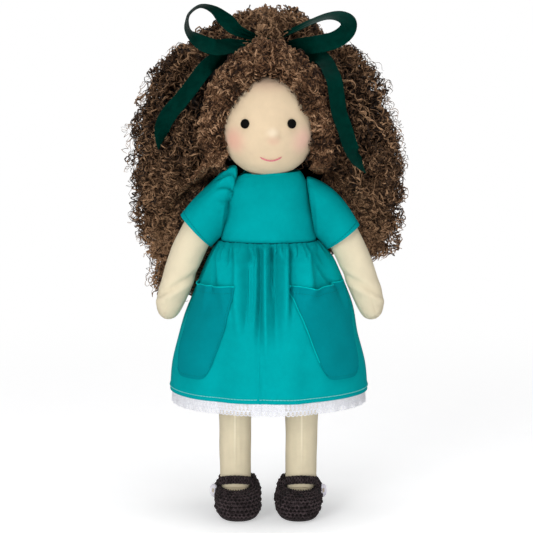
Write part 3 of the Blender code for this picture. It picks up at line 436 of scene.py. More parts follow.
def bead_material(name):
    graph = Graph(name, Roughness=0.5, Specular_IOR_Level=0.03)
    scuff = graph.noise(900.0, 3.0)
    graph.colour(graph.ramp(scuff, (0.3, (0.0015, 0.0014, 0.0012)), (0.8, (0.005, 0.004, 0.004))))
    rough = graph.add("MapRange", {"Value": scuff, "To Min": 0.42, "To Max": 0.6})
    graph.feed(graph.shader.inputs["Roughness"], rough.outputs[0])
    return graph.bump((scuff, 0.00005))


FACE_Y = -0.0262
# Spots mixed into the face's colour, each a centre, radii, tint and strength: blush and painted light.
BLUSH_AND_PAINTED_LIGHT = (
    # Blush on the cheeks; the doll's left cheek is painted lighter and its right cheek darker: painted light and shade.
    ((0.0205, -0.0185, 0.2295), (0.0140, 0.0135, 0.0125), (1.00, 0.61, 0.49), 0.75),
    ((-0.0205, -0.0185, 0.2295), (0.0140, 0.0135, 0.0125), (0.88, 0.46, 0.35), 0.72),
    # Painted shadow under the nose, pinkish.
    ((0.0030, FACE_Y, 0.2300), (0.0065, 0.0080, 0.0050), (0.86, 0.48, 0.36), 0.40),
    # Painted highlight on the nose.
    ((0.0024, FACE_Y - 0.0020, 0.2345), (0.0052, 0.0070, 0.0042), (1.00, 0.88, 0.70), 0.42),
    # A pinker forehead along the hairline.
    ((0.0000, -0.0140, 0.2640), (0.0240, 0.0200, 0.0120), (0.90, 0.56, 0.42), 0.35),
)
SKIN = (0.80, 0.66, 0.47)
jersey = jersey_material("cream jersey", (0.83, 0.73, 0.525))
face_jersey = jersey_material("face jersey", (0.81, 0.635, 0.43), BLUSH_AND_PAINTED_LIGHT)
cotton = cotton_material("teal cotton", (0.0, 0.355, 0.375))
# A darker copy of the teal cotton for the pockets: painted shade.
shaded_pocket_cotton = cotton_material("pocket cotton, painted shade", (0.0, 0.250, 0.285))
# A paler copy of the teal cotton for the pockets' turned edges: painted highlight.
highlit_edge_cotton = cotton_material("turned cotton edge, painted highlight", (0.0, 0.48, 0.48))
teal_thread = thread_material("teal thread", (0.0, 0.22, 0.24))
# Near-black teal for the waist line: painted shadow in the seam.
painted_seam_shadow = thread_material("painted seam shadow thread", (0.0, 0.07, 0.08))
hem_thread = thread_material("pale hem thread", (0.20, 0.62, 0.60))
pink_thread = thread_material("pink thread", (0.74, 0.24, 0.27))
cream_thread = thread_material("cream thread", (0.66, 0.56, 0.42))
lace_yarn = thread_material("white lace yarn", (0.86, 0.86, 0.92))
satin = satin_material("green satin", (0.0, 0.021, 0.0150))
mohair = hair_material("brown mohair", (0.012, 0.006, 0.0035), (0.105, 0.054, 0.027), (0.46, 0.27, 0.15))
fringe_mohair = hair_material("fringe mohair", (0.020, 0.009, 0.005), (0.175, 0.086, 0.042), (0.55, 0.33, 0.19))
# A near-black copy of the mohair for the cores inside the hair: painted shade.
painted_hair_shade = hair_material("painted hair shade", (0.006, 0.0035, 0.002), (0.010, 0.006, 0.004), (0.016, 0.009, 0.006))
cap_yarn = crochet_material("brown cap yarn", (0.035, 0.020, 0.012))
crochet = crochet_material("dark crochet", (0.022, 0.016, 0.017))
pearl = pearl_material("pearly shell")
bead = bead_material("black bead")


def finish(obj, material, ride=None, blend=None, replaces=()):
    """Gives a piece its material, sets it on a body if it rides one, and bakes its transform if it has a blend."""
    obj.data.materials.append(material)
    if ride:
        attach(obj, ride)
    if blend:
        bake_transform(obj)
    if replaces:
        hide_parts(*replaces)
    return obj


# ---------------------------------------------------------------- stage

def area_light(name, place, size, power, aim=(0, 0, 0.15)):
    light = bpy.data.lights.new(name, "AREA")
    light.shape, light.size, light.energy = "DISK", size, power
    lamp = bpy.data.objects.new(name, light)
    lamp.location = place
    lamp.rotation_euler = (Vector(aim) - Vector(place)).to_track_quat("-Z", "Y").to_euler()
    bpy.context.scene.collection.objects.link(lamp)


def make_stage():
    scene = bpy.context.scene
    scene.view_settings.view_transform = "Standard"
    camera = bpy.data.objects.new("camera", bpy.data.cameras.new("camera"))
    camera.data.sensor_width, camera.data.lens = 36, 112.57
    aim, tilt, distance = Vector((-0.0011, 0, 0.1527)), math.radians(8), 1.0
    camera.location = aim + Vector((0, -math.cos(tilt), math.sin(tilt))) * distance
    camera.rotation_euler = (aim - camera.location).to_track_quat("-Z", "Y").to_euler()
    scene.collection.objects.link(camera)
    scene.camera = camera
    area_light("key", (-0.62, -1.10, 0.50), 0.6, 6.6)
    area_light("fill", (0.60, -1.10, 0.12), 0.8, 3.0)
    area_light("top", (0.05, -0.12, 1.30), 0.8, 6.0)
    area_light("bounce", (0.03, -0.42, 0.02), 0.25, 0.75)
    world = bpy.data.worlds.new("studio")
    scene.world = world
    world.use_nodes = True
    tree = world.node_tree
    back = tree.nodes["Background"]
    rays = tree.nodes.new("ShaderNodeLightPath")
    most = rays.outputs["Is Camera Ray"]
    for name in ("Is Glossy Ray", "Is Transmission Ray"):
        more = tree.nodes.new("ShaderNodeMath")
        more.operation = "MAXIMUM"
        tree.links.new(most, more.inputs[0])
        tree.links.new(rays.outputs[name], more.inputs[1])
        most = more.outputs[0]
    level = tree.nodes.new("ShaderNodeMapRange")
    level.inputs["To Min"].default_value = 0.30
    level.inputs["To Max"].default_value = 1.0
    tree.links.new(most, level.inputs["Value"])
    tree.links.new(level.outputs[0], back.inputs["Strength"])
    back.inputs["Color"].default_value = (1, 1, 1, 1)
    graph = Graph("studio floor", Roughness=0.9, Specular_IOR_Level=0.1)
    grain = graph.noise(60.0)
    graph.colour(graph.ramp(grain, (0.3, (0.84, 0.84, 0.85)), (0.7, (0.87, 0.87, 0.88))))
    paths = graph.add("LightPath").outputs
    seen = graph.math("MAXIMUM", paths["Is Camera Ray"], paths["Is Glossy Ray"])
    seen = graph.math("MAXIMUM", seen, paths["Is Transmission Ray"])
    graph.feed(graph.shader.inputs["Emission Color"], (1, 1, 1))
    graph.feed(graph.shader.inputs["Emission Strength"], graph.math("MULTIPLY", seen, 0.42))
    far = graph.math("SUBTRACT", 1.0, graph.near((0, 0, 0), (0.75, 0.75, 0.75)))
    plain = graph.add("Emission", {"Color": (1, 1, 1), "Strength": 1.0}).outputs[0]
    both = graph.add("MixShader", {0: graph.math("MULTIPLY", seen, far), 1: graph.shader.outputs[0], 2: plain})
    graph.feed(graph.tree.nodes["Material Output"].inputs["Surface"], both.outputs[0])
    reach = 4.0
    floor = build("floor", [(-reach, -reach, 0), (reach, -reach, 0), (reach, reach, 0), (-reach, reach, 0)],
                  [np.array([[0, 1, 2, 3]])])
    floor.data.materials.append(graph.material)


make_stage()


# ---------------------------------------------------------------- head

def ellipse_rows(count, low_angle):
    return np.linspace(math.pi / 2 - 0.06, low_angle, count)


CHIN = (0.0, 0.2165, 0.0120, 0.0070, 0.0016)  # across, height, width, tallness and fullness


def make_head():
    rows, columns = 120, 168
    under = -math.acos(NECK_RADIUS / HEAD_DEEP)
    angle = ellipse_rows(rows, under)[:, None]
    turn = np.linspace(0, TURN, columns, endpoint=False)[None]
    rise = np.where(angle > 0, CROWN_RISE, CHIN_DROP)
    points = np.stack([
        HEAD_WIDE * np.cos(angle) * np.cos(turn),
        -HEAD_DEEP * np.cos(angle) * np.sin(turn),
        HEAD_Z + rise * np.sin(angle) + 0 * turn,
    ], -1)
    stalk = []
    for z in np.linspace(points[-1, 0, 2], NECK_Z - 0.012, 9)[1:]:
        stalk.append(np.stack([NECK_RADIUS * np.cos(turn[0]), -NECK_RADIUS * np.sin(turn[0]), 0 * turn[0] + z], -1))
    points = np.concatenate([points, np.array(stalk)])
    normal = surface_normals(points, True)
    normal *= np.sign(np.sum(normal * (points - [0, 0, HEAD_Z]), -1, keepdims=True))
    front = ease(-points[..., 1], 0.0, 0.012)

    def dome(x, z, wide, high, lift, flat=1.0):
        far = ((points[..., 0] - x) / wide) ** 2 + ((points[..., 2] - z) / high) ** 2
        return lift * np.exp(-(far**flat)) * front

    lift = dome(0.0024, 0.2331, 0.0041, 0.0039, 0.0019, 1.5) + dome(0.0, 0.2350, 0.010, 0.006, 0.0003) + dome(*CHIN)
    lift += dome(0.0150, 0.2290, 0.008, 0.007, 0.0005) + dome(-0.0150, 0.2290, 0.008, 0.007, 0.0005)
    for sign in (1, -1):
        lift -= dome(sign * 0.0134, 0.2394, 0.0042, 0.0040, 0.00035)
    lift += 0.00022 * wobble(points, 0.011, 5)
    points = points + normal * lift[..., None]
    head = tube_surface("head_jersey", points, 300, 170, start=(0, 0, HEAD_Z + CROWN_RISE), end=(0, 0, NECK_Z - 0.012))
    finish(head, face_jersey, ride="head", replaces=("head_skin", "head_stuffing", "nose_pad"))


def face_place(x, z, lift=0.0):
    """Points on the face, and the way that it looks there."""
    x, z = np.asarray(x, float), np.asarray(z, float)
    rise = np.where(z > HEAD_Z, CROWN_RISE, CHIN_DROP)
    up = z - HEAD_Z
    y = -HEAD_DEEP * np.sqrt(np.maximum(1e-6, 1 - (x / HEAD_WIDE) ** 2 - (up / rise) ** 2))
    facing = unit(np.stack([x / HEAD_WIDE**2, y / HEAD_DEEP**2, up / rise**2], -1))
    return np.stack([x, y, z], -1) + facing * np.asarray(lift)[..., None], facing


def lathe(name, centre, axis, profile, columns=40):
    """A turned form from a profile of (radius, height along the axis)."""
    side, other = frames_along(np.array([[centre, np.add(centre, axis)]], float))
    side, other = side[0, 0], other[0, 0]
    turn = np.linspace(0, TURN, columns, endpoint=False)
    ring = side * np.cos(turn)[:, None] + other * np.sin(turn)[:, None]
    dense = smooth(profile, len(profile) * 4)
    points = np.array([np.asarray(centre) + ring * r + np.asarray(axis) * h for r, h in dense])
    ends = [np.asarray(centre) + np.asarray(axis) * dense[k, 1] for k in (0, -1)]
    return tube_surface(name, points[::-1], 10, 10, start=ends[1], end=ends[0])


def make_face():
    for side, sign in SIDES.items():
        place, facing = face_place(sign * 0.0134, 0.2394, -0.0002)
        profile = [(0.0020, -0.0004), (0.0026, 0.0), (0.0028, 0.0005), (0.0026, 0.0011), (0.0017, 0.0016), (0.0005, 0.0018)]
        eye = lathe("bead_eye_" + side, place, facing, profile)
        finish(eye, bead, ride="head", replaces=("eye_" + side,))
    share = np.linspace(-1, 1, 60)
    height = 0.2190 + 0.0018 * share**2
    paths = []
    for lift, drop, phase in ((0.0004, 0.00013, 0), (0.0004, -0.00013, 1.6)):
        wave = 0.00006 * np.sin(share * 26 + phase)
        full = CHIN[4] * np.exp(-((share * 0.0061 / CHIN[2]) ** 2) - ((height - CHIN[1]) / CHIN[3]) ** 2)
        points, _ = face_place(0.0014 + 0.0061 * share, height + drop + wave, lift + full)
        paths.append(points)
    taper = 0.00033 * np.clip((1 - np.abs(share)) * 6, 0.25, 1)
    mouth = tubes("mouth_stitches", paths, taper, 8)
    finish(mouth, pink_thread, ride="head", replaces=("mouth_thread",))
    turn = np.linspace(0, TURN, 90)
    loops = []
    for k in range(4):
        z = 0.2078 + 0.0004 * k
        loops.append(np.stack([0.0097 * np.cos(turn), 0.0097 * np.sin(turn), z + 0.0001 * np.sin(3 * turn + k)], -1))
    tie = tubes("neck_thread", loops, 0.0003, 6)
    finish(tie, cream_thread, ride="head", replaces=("neck_tie",))


make_head()
make_face()


# ---------------------------------------------------------------- limbs and torso

def swept(rows, count, columns, axis, tip_start=None, tip_end=None):
    """Rings square to a smooth path of (x, y, z, half across, half within) rows."""
    path = smooth(rows, count)
    places = path[:, :3]
    ahead = unit(np.gradient(places, axis=0))
    axis = np.asarray(axis, float)
    other = unit(np.cross(ahead, axis))
    turn = np.linspace(0, TURN, columns, endpoint=False)[None, :, None]
    return places[:, None] + axis * np.cos(turn) * path[:, None, 3:4] + other[:, None] * np.sin(turn) * path[:, None, 4:5]


ARM_SHARES = (  # across, drop, radius, from the shoulder to the hand
    (0.03, 0.02, 0.48), (0.08, 0.05, 0.80), (0.22, 0.14, 0.95), (0.38, 0.28, 1.00), (0.55, 0.43, 1.00),
    (0.69, 0.58, 0.97), (0.79, 0.72, 0.94), (0.885, 0.85, 0.87), (0.945, 0.935, 0.70), (0.978, 0.975, 0.47), (0.994, 0.993, 0.22),
)
HAND_X, HAND_Z, ARM_RADIUS = {"left": 0.0648, "right": 0.0626}, 0.1210, 0.0098


def make_arm(side, sign):
    rows = []
    for across, drop, radius in ARM_SHARES:
        x = sign * (SHOULDER_X + (HAND_X[side] - SHOULDER_X) * across)
        rows.append((x, 0, SHOULDER_Z - (SHOULDER_Z - HAND_Z) * drop, ARM_RADIUS * radius, ARM_RADIUS * radius))
    points = swept(rows, 130, 96, (0, 1, 0))
    middle = points.mean(1, keepdims=True)
    out = unit(points - middle)
    share = np.linspace(0, 1, points.shape[0])[:, None]
    lift = 0.00025 * wobble(points, 0.012, 11 + sign)
    crease = share - 0.60 - 0.10 * out[..., 0] * sign
    near = ease(-out[..., 1], -0.3, 0.8)
    lift = lift - 0.0007 * np.exp(-((crease / 0.022) ** 2)) * near + 0.0012 * np.exp(-(((crease - 0.050) / 0.030) ** 2)) * near
    lift = lift + 0.0008 * np.exp(-(((crease + 0.05) / 0.035) ** 2)) * near
    seam = (points[..., 0] - middle[..., 0]) * sign - 0.0015
    lift = lift - 0.00035 * np.exp(-((seam / 0.0006) ** 2)) * ease(-out[..., 1], 0.3, 0.8) * ease(share, 0.5, 0.7)
    points = points + out * lift[..., None]
    tip = (sign * HAND_X[side], 0, HAND_Z)
    arm = tube_surface(f"arm_{side}_jersey", points, 110, 190, start=points[0].mean(0), end=tip)
    finish(arm, jersey, ride="arm_" + side,
           replaces=(f"arm_{side}_skin", f"arm_{side}_stuffing"))


ANKLE_X, ANKLE_Z, ANKLE_RADIUS, LEG_RADIUS = 0.0201, 0.0240, 0.0094, 0.0102


# A darker copy of the cream jersey, painted shade on the legs, with a pale line down the front of each leg that is a
# painted highlight on its seam.
leg_jersey_painted_light = jersey_material("leg jersey with painted light", (0.79, 0.69, 0.49), [
    ((sign * (ANKLE_X + 0.0001), LEG_Y - LEG_RADIUS, 0.0600), (0.0009, 0.0060, 0.0420),
     (1.00, 0.90, 0.68), 0.75) for sign in (1, -1)])


def make_leg(side, sign):
    rows = []
    for reach, height, width, thick in ((0.99, 0.37, 0.30, 0.30), (0.94, 0.37, 0.62, 0.66), (0.68, 0.39, 1.00, 0.94),
                                        (0.34, 0.42, 1.00, 1.10), (0.06, 0.58, 0.96, 1.50)):
        rows.append((sign * ANKLE_X, LEG_Y - 0.0215 * reach, ANKLE_Z * height, 0.0093 * width, 0.0058 * thick))
    for height, grow in ((0.0, 0.0), (0.2, 0.2), (0.42, 0.6), (0.66, 1.0), (0.88, 1.0), (1.0, 1.0)):
        thick = ANKLE_RADIUS + (LEG_RADIUS - ANKLE_RADIUS) * grow
        rows.append((sign * (ANKLE_X + (HIP_X - ANKLE_X) * height), LEG_Y, ANKLE_Z + (HIP_Z - ANKLE_Z) * height, thick, thick))
    for degrees in (32, 58, 80):
        angle = math.radians(degrees)
        thick = LEG_RADIUS * math.cos(angle)
        rows.append((sign * HIP_X, LEG_Y, HIP_Z + LEG_RADIUS * math.sin(angle), thick, thick))
    points = swept(rows, 170, 88, (1, 0, 0))
    middle = points.mean(1, keepdims=True)
    out = unit(points - middle)
    lift = 0.0002 * wobble(points, 0.012, 31 + sign)
    standing = ease(points[..., 2], 0.026, 0.034)
    for place, depth, wide in ((0.0, -0.00040, 0.0006), (0.0011, 0.00022, 0.0006), (-0.0011, 0.00022, 0.0006), (0.0046, 0.00018, 0.0010), (-0.0052, 0.00016, 0.0012)):
        seam = points[..., 0] - middle[..., 0] - place
        lift = lift - depth * np.exp(-((seam / wide) ** 2)) * ease(-out[..., 1], 0.3, 0.8) * standing
    points = points + out * lift[..., None]
    tops = (sign * HIP_X, LEG_Y, HIP_Z + LEG_RADIUS)
    leg = tube_surface(f"leg_{side}_jersey", points, 104, 260, start=points[0].mean(0), end=tops)
    finish(leg, leg_jersey_painted_light, ride="leg_" + side,
           replaces=(f"leg_{side}_skin", f"leg_{side}_stuffing"))


TORSO_SHARES = (
    (0.00, 0.80, 0.68), (0.04, 0.94, 0.88), (0.16, 0.99, 0.98), (0.38, 1.00, 1.00), (0.60, 1.00, 1.00),
    (0.75, 0.92, 0.98), (0.86, 0.84, 0.94), (0.93, 0.77, 0.85), (0.965, 0.68, 0.76), (0.99, 0.50, 0.67),
)


def torso_rings(heights, grow, columns):
    """Level rings of the torso with a margin."""
    seat = HIP_Z + LEG_RADIUS + 0.0003
    share = (np.asarray(heights) - seat) / (NECK_Z - seat)
    wide, deep = lookup(TORSO_SHARES, share)
    turn = np.linspace(0, TURN, columns, endpoint=False)
    return np.stack([
        np.outer(0.0274 * wide + grow, np.sin(turn)),
        -np.outer(0.0163 * deep + grow, np.cos(turn)),
        np.outer(heights, np.ones(columns)),
    ], -1)


def make_torso():
    points = torso_rings(np.linspace(0.1102, 0.2072, 70), 0.0, 96)
    points[..., :2] += 0.0003 * wobble(points, 0.014, 3)[..., None] * unit(points[..., :2])
    torso = tube_surface("torso_jersey", points[::-1], 250, 180, start=(0, 0, 0.2072), end=(0, 0, 0.1100))
    finish(torso, jersey, ride="torso", replaces=("torso_skin", "torso_stuffing"))


make_torso()
for side, sign in SIDES.items():
    make_arm(side, sign)
    make_leg(side, sign)


# ---------------------------------------------------------------- skirt

FLARE_SHARES = ((0.0, 0.0), (0.04, 0.09), (0.1, 0.18), (0.23, 0.35), (0.34, 0.48), (0.54, 0.71), (0.8, 0.94), (1.0, 1.0))
# Folds of the front: place across at waist and hem, half-width and height in mm, drops where they start and end
FRONT_FOLDS = (
    (-5.6, -6.6, 1.8, -6.08, 0.03, 0.72), (-11.2, -11.5, 3.4, -4.18, 0.06, 0.66), (-1.8, -1.8, 1.7, 2.85, 0, 0.85),
    (2.3, 2, 1.2, -4.18, 0, 0.42), (4.8, 5.4, 2.6, -4.94, 0.08, 0.75), (9.6, 10, 2.2, 2.66, 0, 0.62),
    (13.7, 14, 1, -4.56, 0.03, 0.48), (17, 18, 3, -2.66, 0.1, 0.5), (-17.6, -17.6, 2.4, 2.47, 0, 0.65),
    (-14.4, -14.4, 0.8, -2.85, 0.12, 0.62), (-24, -24, 3, 1.52, 0.04, 0.55), (20, 30, 3.4, 3.4, 0.04, 0.42),
    (22.5, 78, 1.5, -3.2, 0.04, 0.36), (27, 80, 3.4, -1.6, 0.06, 0.4), (-30, -34.8, 1.3, -4.94, 0.05, 0.33),
    (-27, -30.5, 2.2, 1.90, 0.05, 0.36), (-26.5, -27.5, 0.8, -2.43, -0.1, 0.12), (-23.2, -23.6, 0.8, -2.56, -0.1, 0.15),
    (-20.4, -20.8, 0.7, -2.16, -0.1, 0.12), (-16.6, -16.9, 0.6, -1.35, -0.1, 0.07), (-13.2, -13.6, 0.9, -2.70, -0.1, 0.17),
    (-9.4, -9.6, 0.7, -1.62, -0.1, 0.11), (-6.6, -6.8, 0.8, -2.16, -0.1, 0.12), (-3.9, -4, 0.6, -1.62, -0.1, 0.1),
    (1.8, 1.8, 0.8, -2.16, -0.1, 0.15), (5.4, 5.4, 0.6, -1.62, -0.1, 0.1), (8.4, 8.6, 0.6, -1.76, -0.1, 0.1),
    (13.4, 13.6, 0.8, -2.29, -0.1, 0.14), (17.6, 18.2, 0.7, -2.03, -0.1, 0.11), (20.6, 21.6, 0.7, -1.76, -0.1, 0.1),
    (24.4, 27.5, 0.8, -2.16, -0.1, 0.12), (10, 15, 6, 1.3, 0.55, 1.8), (-3, -4.4, 3, -1.1, 0.5, 1.5), (-22, -30, 5, -0.9, 0.5, 1.6),
)
# Other folds: angle from the front in degrees, half-width, height in mm, drops where they start and end
FOLDS = (
    (-53.0, 4.5, 0.9, 0.0, 0.50), (-75.0, 5.0, 1.0, 0.0, 0.50), (68.0, 4.5, -1.0, 0.0, 0.50), (-84.0, 9.0, -1.8, 0.0, 0.60),
    (86.0, 17.0, 3.6, 0.03, 0.66), (-98.0, 6.0, 1.4, 0.02, 0.80), (98.0, 6.0, 1.4, 0.0, 0.80), (-110.0, 4.0, -2.6, 0.0, 0.85),
    (112.0, 4.2, -2.8, 0.02, 0.75), (-124.0, 5.0, 1.2, 0.02, 0.75), (126.0, 5.5, 1.3, 0.0, 0.80), (-137.0, 4.0, -2.8, 0.0, 0.70),
    (139.0, 4.0, -2.6, 0.02, 0.80), (-151.0, 5.5, 1.3, 0.02, 0.85), (152.0, 5.0, 1.2, 0.0, 0.75), (-163.0, 3.8, -2.6, 0.0, 0.9),
    (165.0, 4.0, -2.7, 0.0, 0.8), (178.0, 4.0, 0.8, 0.0, 0.90),
)
SEAM_ANGLE = math.radians(-4.9)


def skirt_sizes(drop):
    grow = lookup(FLARE_SHARES, np.clip(drop, 0, 1))[0]
    grow = grow + np.maximum(0, drop - 1) * 0.15
    puff = 0.0034 * ease(drop, 0.0, 0.022) * (1 - ease(drop, 0.03, 0.32))
    return WAIST_WIDE + (HEM_WIDE - WAIST_WIDE) * grow, WAIST_DEEP + (HEM_DEEP - WAIST_DEEP) * grow**0.78 + puff


def turned(angle):
    return (angle + math.pi) % TURN - math.pi


def skirt_points(angle, drop, outset=0.0, gathers=True):
    """Points on the skirt at angles from its front and shares of the way from waist to hem."""
    angle, drop = np.broadcast_arrays(np.asarray(angle, float), np.asarray(drop, float))
    wide, deep = skirt_sizes(drop)
    lift = np.zeros_like(angle) + outset
    for middle, half, height, first, last in FOLDS:
        reach = ease(drop, first - 0.05, first + 0.12) * (1 - ease(drop, last * 0.55, last))
        spread = np.radians(half) * (1 + 0.25 * drop)
        away = turned(angle - np.radians(middle)) / spread
        lift = lift + height * MM * np.exp(-(away**2)) * reach
    across, front = wide * np.sin(angle) / MM, ease(np.cos(angle), 0.12, 0.45)
    for top, foot, half, height, first, last in FRONT_FOLDS:
        reach = ease(drop, first - 0.05, first + 0.03) * (1 - ease(drop, last * 0.5, last)) * front * 1.4
        away = (across - top - (foot - top) * drop) / (half * (1 + 0.3 * drop))
        lift = lift + height * MM * np.exp(-(away**2)) * reach
    seam = turned(angle - SEAM_ANGLE)
    lift = lift + 0.0009 * np.exp(-((seam / 0.018) ** 2)) * ease(seam, -0.012, 0.004) * ease(drop, 0.45, 0.8)
    circle = np.stack([np.cos(angle), np.sin(angle), np.zeros_like(angle)], -1)
    slow = wobble(circle, 0.8, 71)
    lift = lift + 0.0011 * slow * ease(drop, 0.5, 1.0) * (0.4 + 0.6 * ease(np.abs(angle), 0.5, 1.2))
    if gathers:
        ripple = wobble(circle, 0.075, 72, 9) + 0.6 * wobble(circle, 0.045, 73, 9)
        coarse = wobble(circle, 0.20, 74, 9)
        ripple, coarse = ripple * (1 - 0.6 * front), coarse * (1 - 0.6 * front)
        lift = lift + 0.00085 * ripple * np.exp(-drop / 0.07) + 0.0010 * coarse * np.exp(-drop / 0.17)
        lift = lift - 0.0008 * ease(drop, 0.008, 0.0)
    far = np.hypot(wide * np.sin(angle), deep * np.cos(angle))
    room = np.maximum(0.0004, far - np.hypot(0.0280 * np.sin(angle), 0.0170 * np.cos(angle)) - 0.0006)
    lift = np.where(lift < 0, -room * np.tanh(-lift / room), lift)
    scale = 1 + lift / far
    sag = 0.0012 * (1 - np.cos(angle)) * 0.5 * drop
    return np.stack([
        wide * np.sin(angle) * scale,
        -deep * np.cos(angle) * scale,
        WAIST_Z - 0.0001 - (WAIST_Z - HEM_Z) * drop + sag,
    ], -1)


def outward_flat(points):
    away = points.copy()
    away[..., 2] = 0
    return away


def skirt_blend(side, sign):
    """The torso, its leg and two points for a blend of the skirt towards its leg; finish only bakes the piece in place.
    """
    return ("torso", "leg_" + side, (0, 0, HEM_Z), (sign * 0.0150, 0, HEM_Z - 0.0048))


def dashes(name, points, normals, length, gap, radius, lift):
    """Running stitches along a path, each a short thread that dips into the cloth at its ends."""
    far = np.concatenate([[0], np.cumsum(np.linalg.norm(np.diff(points, axis=0), axis=1))])
    starts = np.arange(0, far[-1] - length, length + gap)
    share = np.linspace(0, 1, 7)
    where = starts[:, None] + length * share
    paths = np.stack([np.interp(where, far, points[:, k]) for k in range(3)], -1)
    out = unit(np.stack([np.interp(where, far, normals[:, k]) for k in range(3)], -1))
    hump = lift * np.sin(math.pi * share) ** 0.5 - radius * 0.6
    return tubes(name, paths + out * hump[:, None], radius, 5)


def skirt_angles(sign, count):
    """Angles of one half, from the front seam round its side to the back seam."""
    if sign > 0:
        return np.linspace(SEAM_ANGLE, math.pi, count)
    return np.linspace(-math.pi, SEAM_ANGLE, count)


def make_skirt(side, sign):
    drop = np.concatenate([np.linspace(0, 0.12, 22)[:-1], np.linspace(0.12, 1.0, 66)])
    angle = skirt_angles(sign, 300)
    points = skirt_points(angle[None], drop[:, None])
    edge = ease(drop, 0.9815, 0.9825)[:, None, None]
    points = points + unit(outward_flat(points)) * 0.00018 * ease(drop, 0.955, 0.957)[:, None, None] * (1 - edge)
    half = shell("skirt_" + side, points, 0.0006, False, 330, 300, outward_flat)
    finish(half, cotton, blend=skirt_blend(side, sign), replaces=("skirt",))
    angle = skirt_angles(sign, 400)
    line = skirt_points(angle, np.full(400, 0.972), 0.0003)
    threads = dashes("hem_stitches_" + side, line, unit(outward_flat(line)), 0.0016, 0.0004, 0.00022, 0.00022)
    finish(threads, hem_thread, blend=skirt_blend(side, sign), replaces=("skirt",))


POCKETS = {  # inner and outer angle of the top edge, then of the bottom edge; the top edge's dips are set in pocket_points
    "left": (17.5, 80.0, 33.0, 64.0),
    "right": (25.0, 80.0, 36.0, 66.0),
}


def pocket_points(side, sign, across, down, outset):
    top_in, top_out, foot_in, foot_out = POCKETS[side]
    inner, outer = top_in + (foot_in - top_in) * down, top_out + (foot_out - top_out) * down
    pinch = 0.5 + (across - 0.5) * (1 - 0.10 * np.maximum(0, (down - 0.86) / 0.14) ** 2)
    angle = sign * np.radians(inner + (outer - inner) * pinch)
    dip = (0.16, 0.012) if side == "right" else (0.32, 0.016)
    top = 0.258 + 0.012 * np.sin(math.pi * across) + dip[1] * np.exp(-(((1 - across if side == "right" else across) - dip[0]) / 0.10) ** 2)
    foot = 0.868 - 0.045 * (np.abs(across - 0.5) * 2) ** 6
    drop = top + (foot - top) * down
    open_up = 0.0016 * np.sin(math.pi * across) * (1 - ease(down, 0.0, 0.30)) + 0.0005 * ease(down, 0.03, 0.015)
    soft = 0.00025 * wobble(np.stack([angle * 0.05, drop * 0.09, 0 * drop], -1), 0.010, 90 + sign)
    return skirt_points(angle, drop, outset + open_up + soft)


def make_pocket(side, sign):
    across, down = np.meshgrid(np.linspace(0, 1, 90), np.linspace(0, 1, 90))
    points = pocket_points(side, sign, across, down, 0.0011)
    pocket = shell("pocket_" + side + "_patch", points, 0.0006, False, 110, 150, outward_flat)
    finish(pocket, shaded_pocket_cotton, blend=skirt_blend(side, sign), replaces=("pocket_" + side,))
    lines = []
    t = np.linspace(0, 1, 200)
    for start, end in (((0.03, 0.080), (0.97, 0.080)), ((0.03, 0.02), (0.03, 0.93)),
                       ((0.97, 0.02), (0.97, 0.93)), ((0.06, 0.965), (0.94, 0.965))):
        a, b = start[0] + (end[0] - start[0]) * t, start[1] + (end[1] - start[1]) * t
        lines.append(pocket_points(side, sign, a, b, 0.0011))
    made = [dashes(f"pocket_{side}_line_{k}", line, unit(outward_flat(line)), 0.0013, 0.0006, 0.00017, 0.00024)
            for k, line in enumerate(lines)]
    threads = join(f"pocket_{side}_stitches", made)
    finish(threads, teal_thread, blend=skirt_blend(side, sign), replaces=("pocket_" + side,))
    # Tubes along each pocket's top edge, and along the doll's left pocket's inner edge, in the paler teal: a painted
    # highlight on the turned edges.
    edges = [pocket_points(side, sign, t, 0 * t + 0.004, 0.0012)]
    if side == "left":
        edges.append(pocket_points(side, sign, 0 * t + 0.004, t * 0.86, 0.0012))
    highlit_edge = tubes(f"pocket_{side}_piping", edges, 0.00032, 6)
    finish(highlit_edge, highlit_edge_cotton, blend=skirt_blend(side, sign), replaces=("pocket_" + side,))


def join(name, objects):
    """One mesh object out of several."""
    verts, faces, first = [], {3: [], 4: []}, 0
    for obj in objects:
        mesh = obj.data
        co = np.empty(len(mesh.vertices) * 3, np.float32)
        mesh.vertices.foreach_get("co", co)
        corner = np.empty(len(mesh.loops), np.int32)
        mesh.loops.foreach_get("vertex_index", corner)
        total = np.empty(len(mesh.polygons), np.int32)
        mesh.polygons.foreach_get("loop_total", total)
        start = np.cumsum(total) - total
        for size in set(total.tolist()):
            chosen = start[total == size][:, None] + np.arange(size)
            faces.setdefault(size, []).append(corner[chosen] + first)
        verts.append(co.reshape(-1, 3))
        first += len(mesh.vertices)
        bpy.data.objects.remove(obj)
        bpy.data.meshes.remove(mesh)
    return build(name, np.vstack(verts), [np.vstack(group) for group in faces.values() if group])


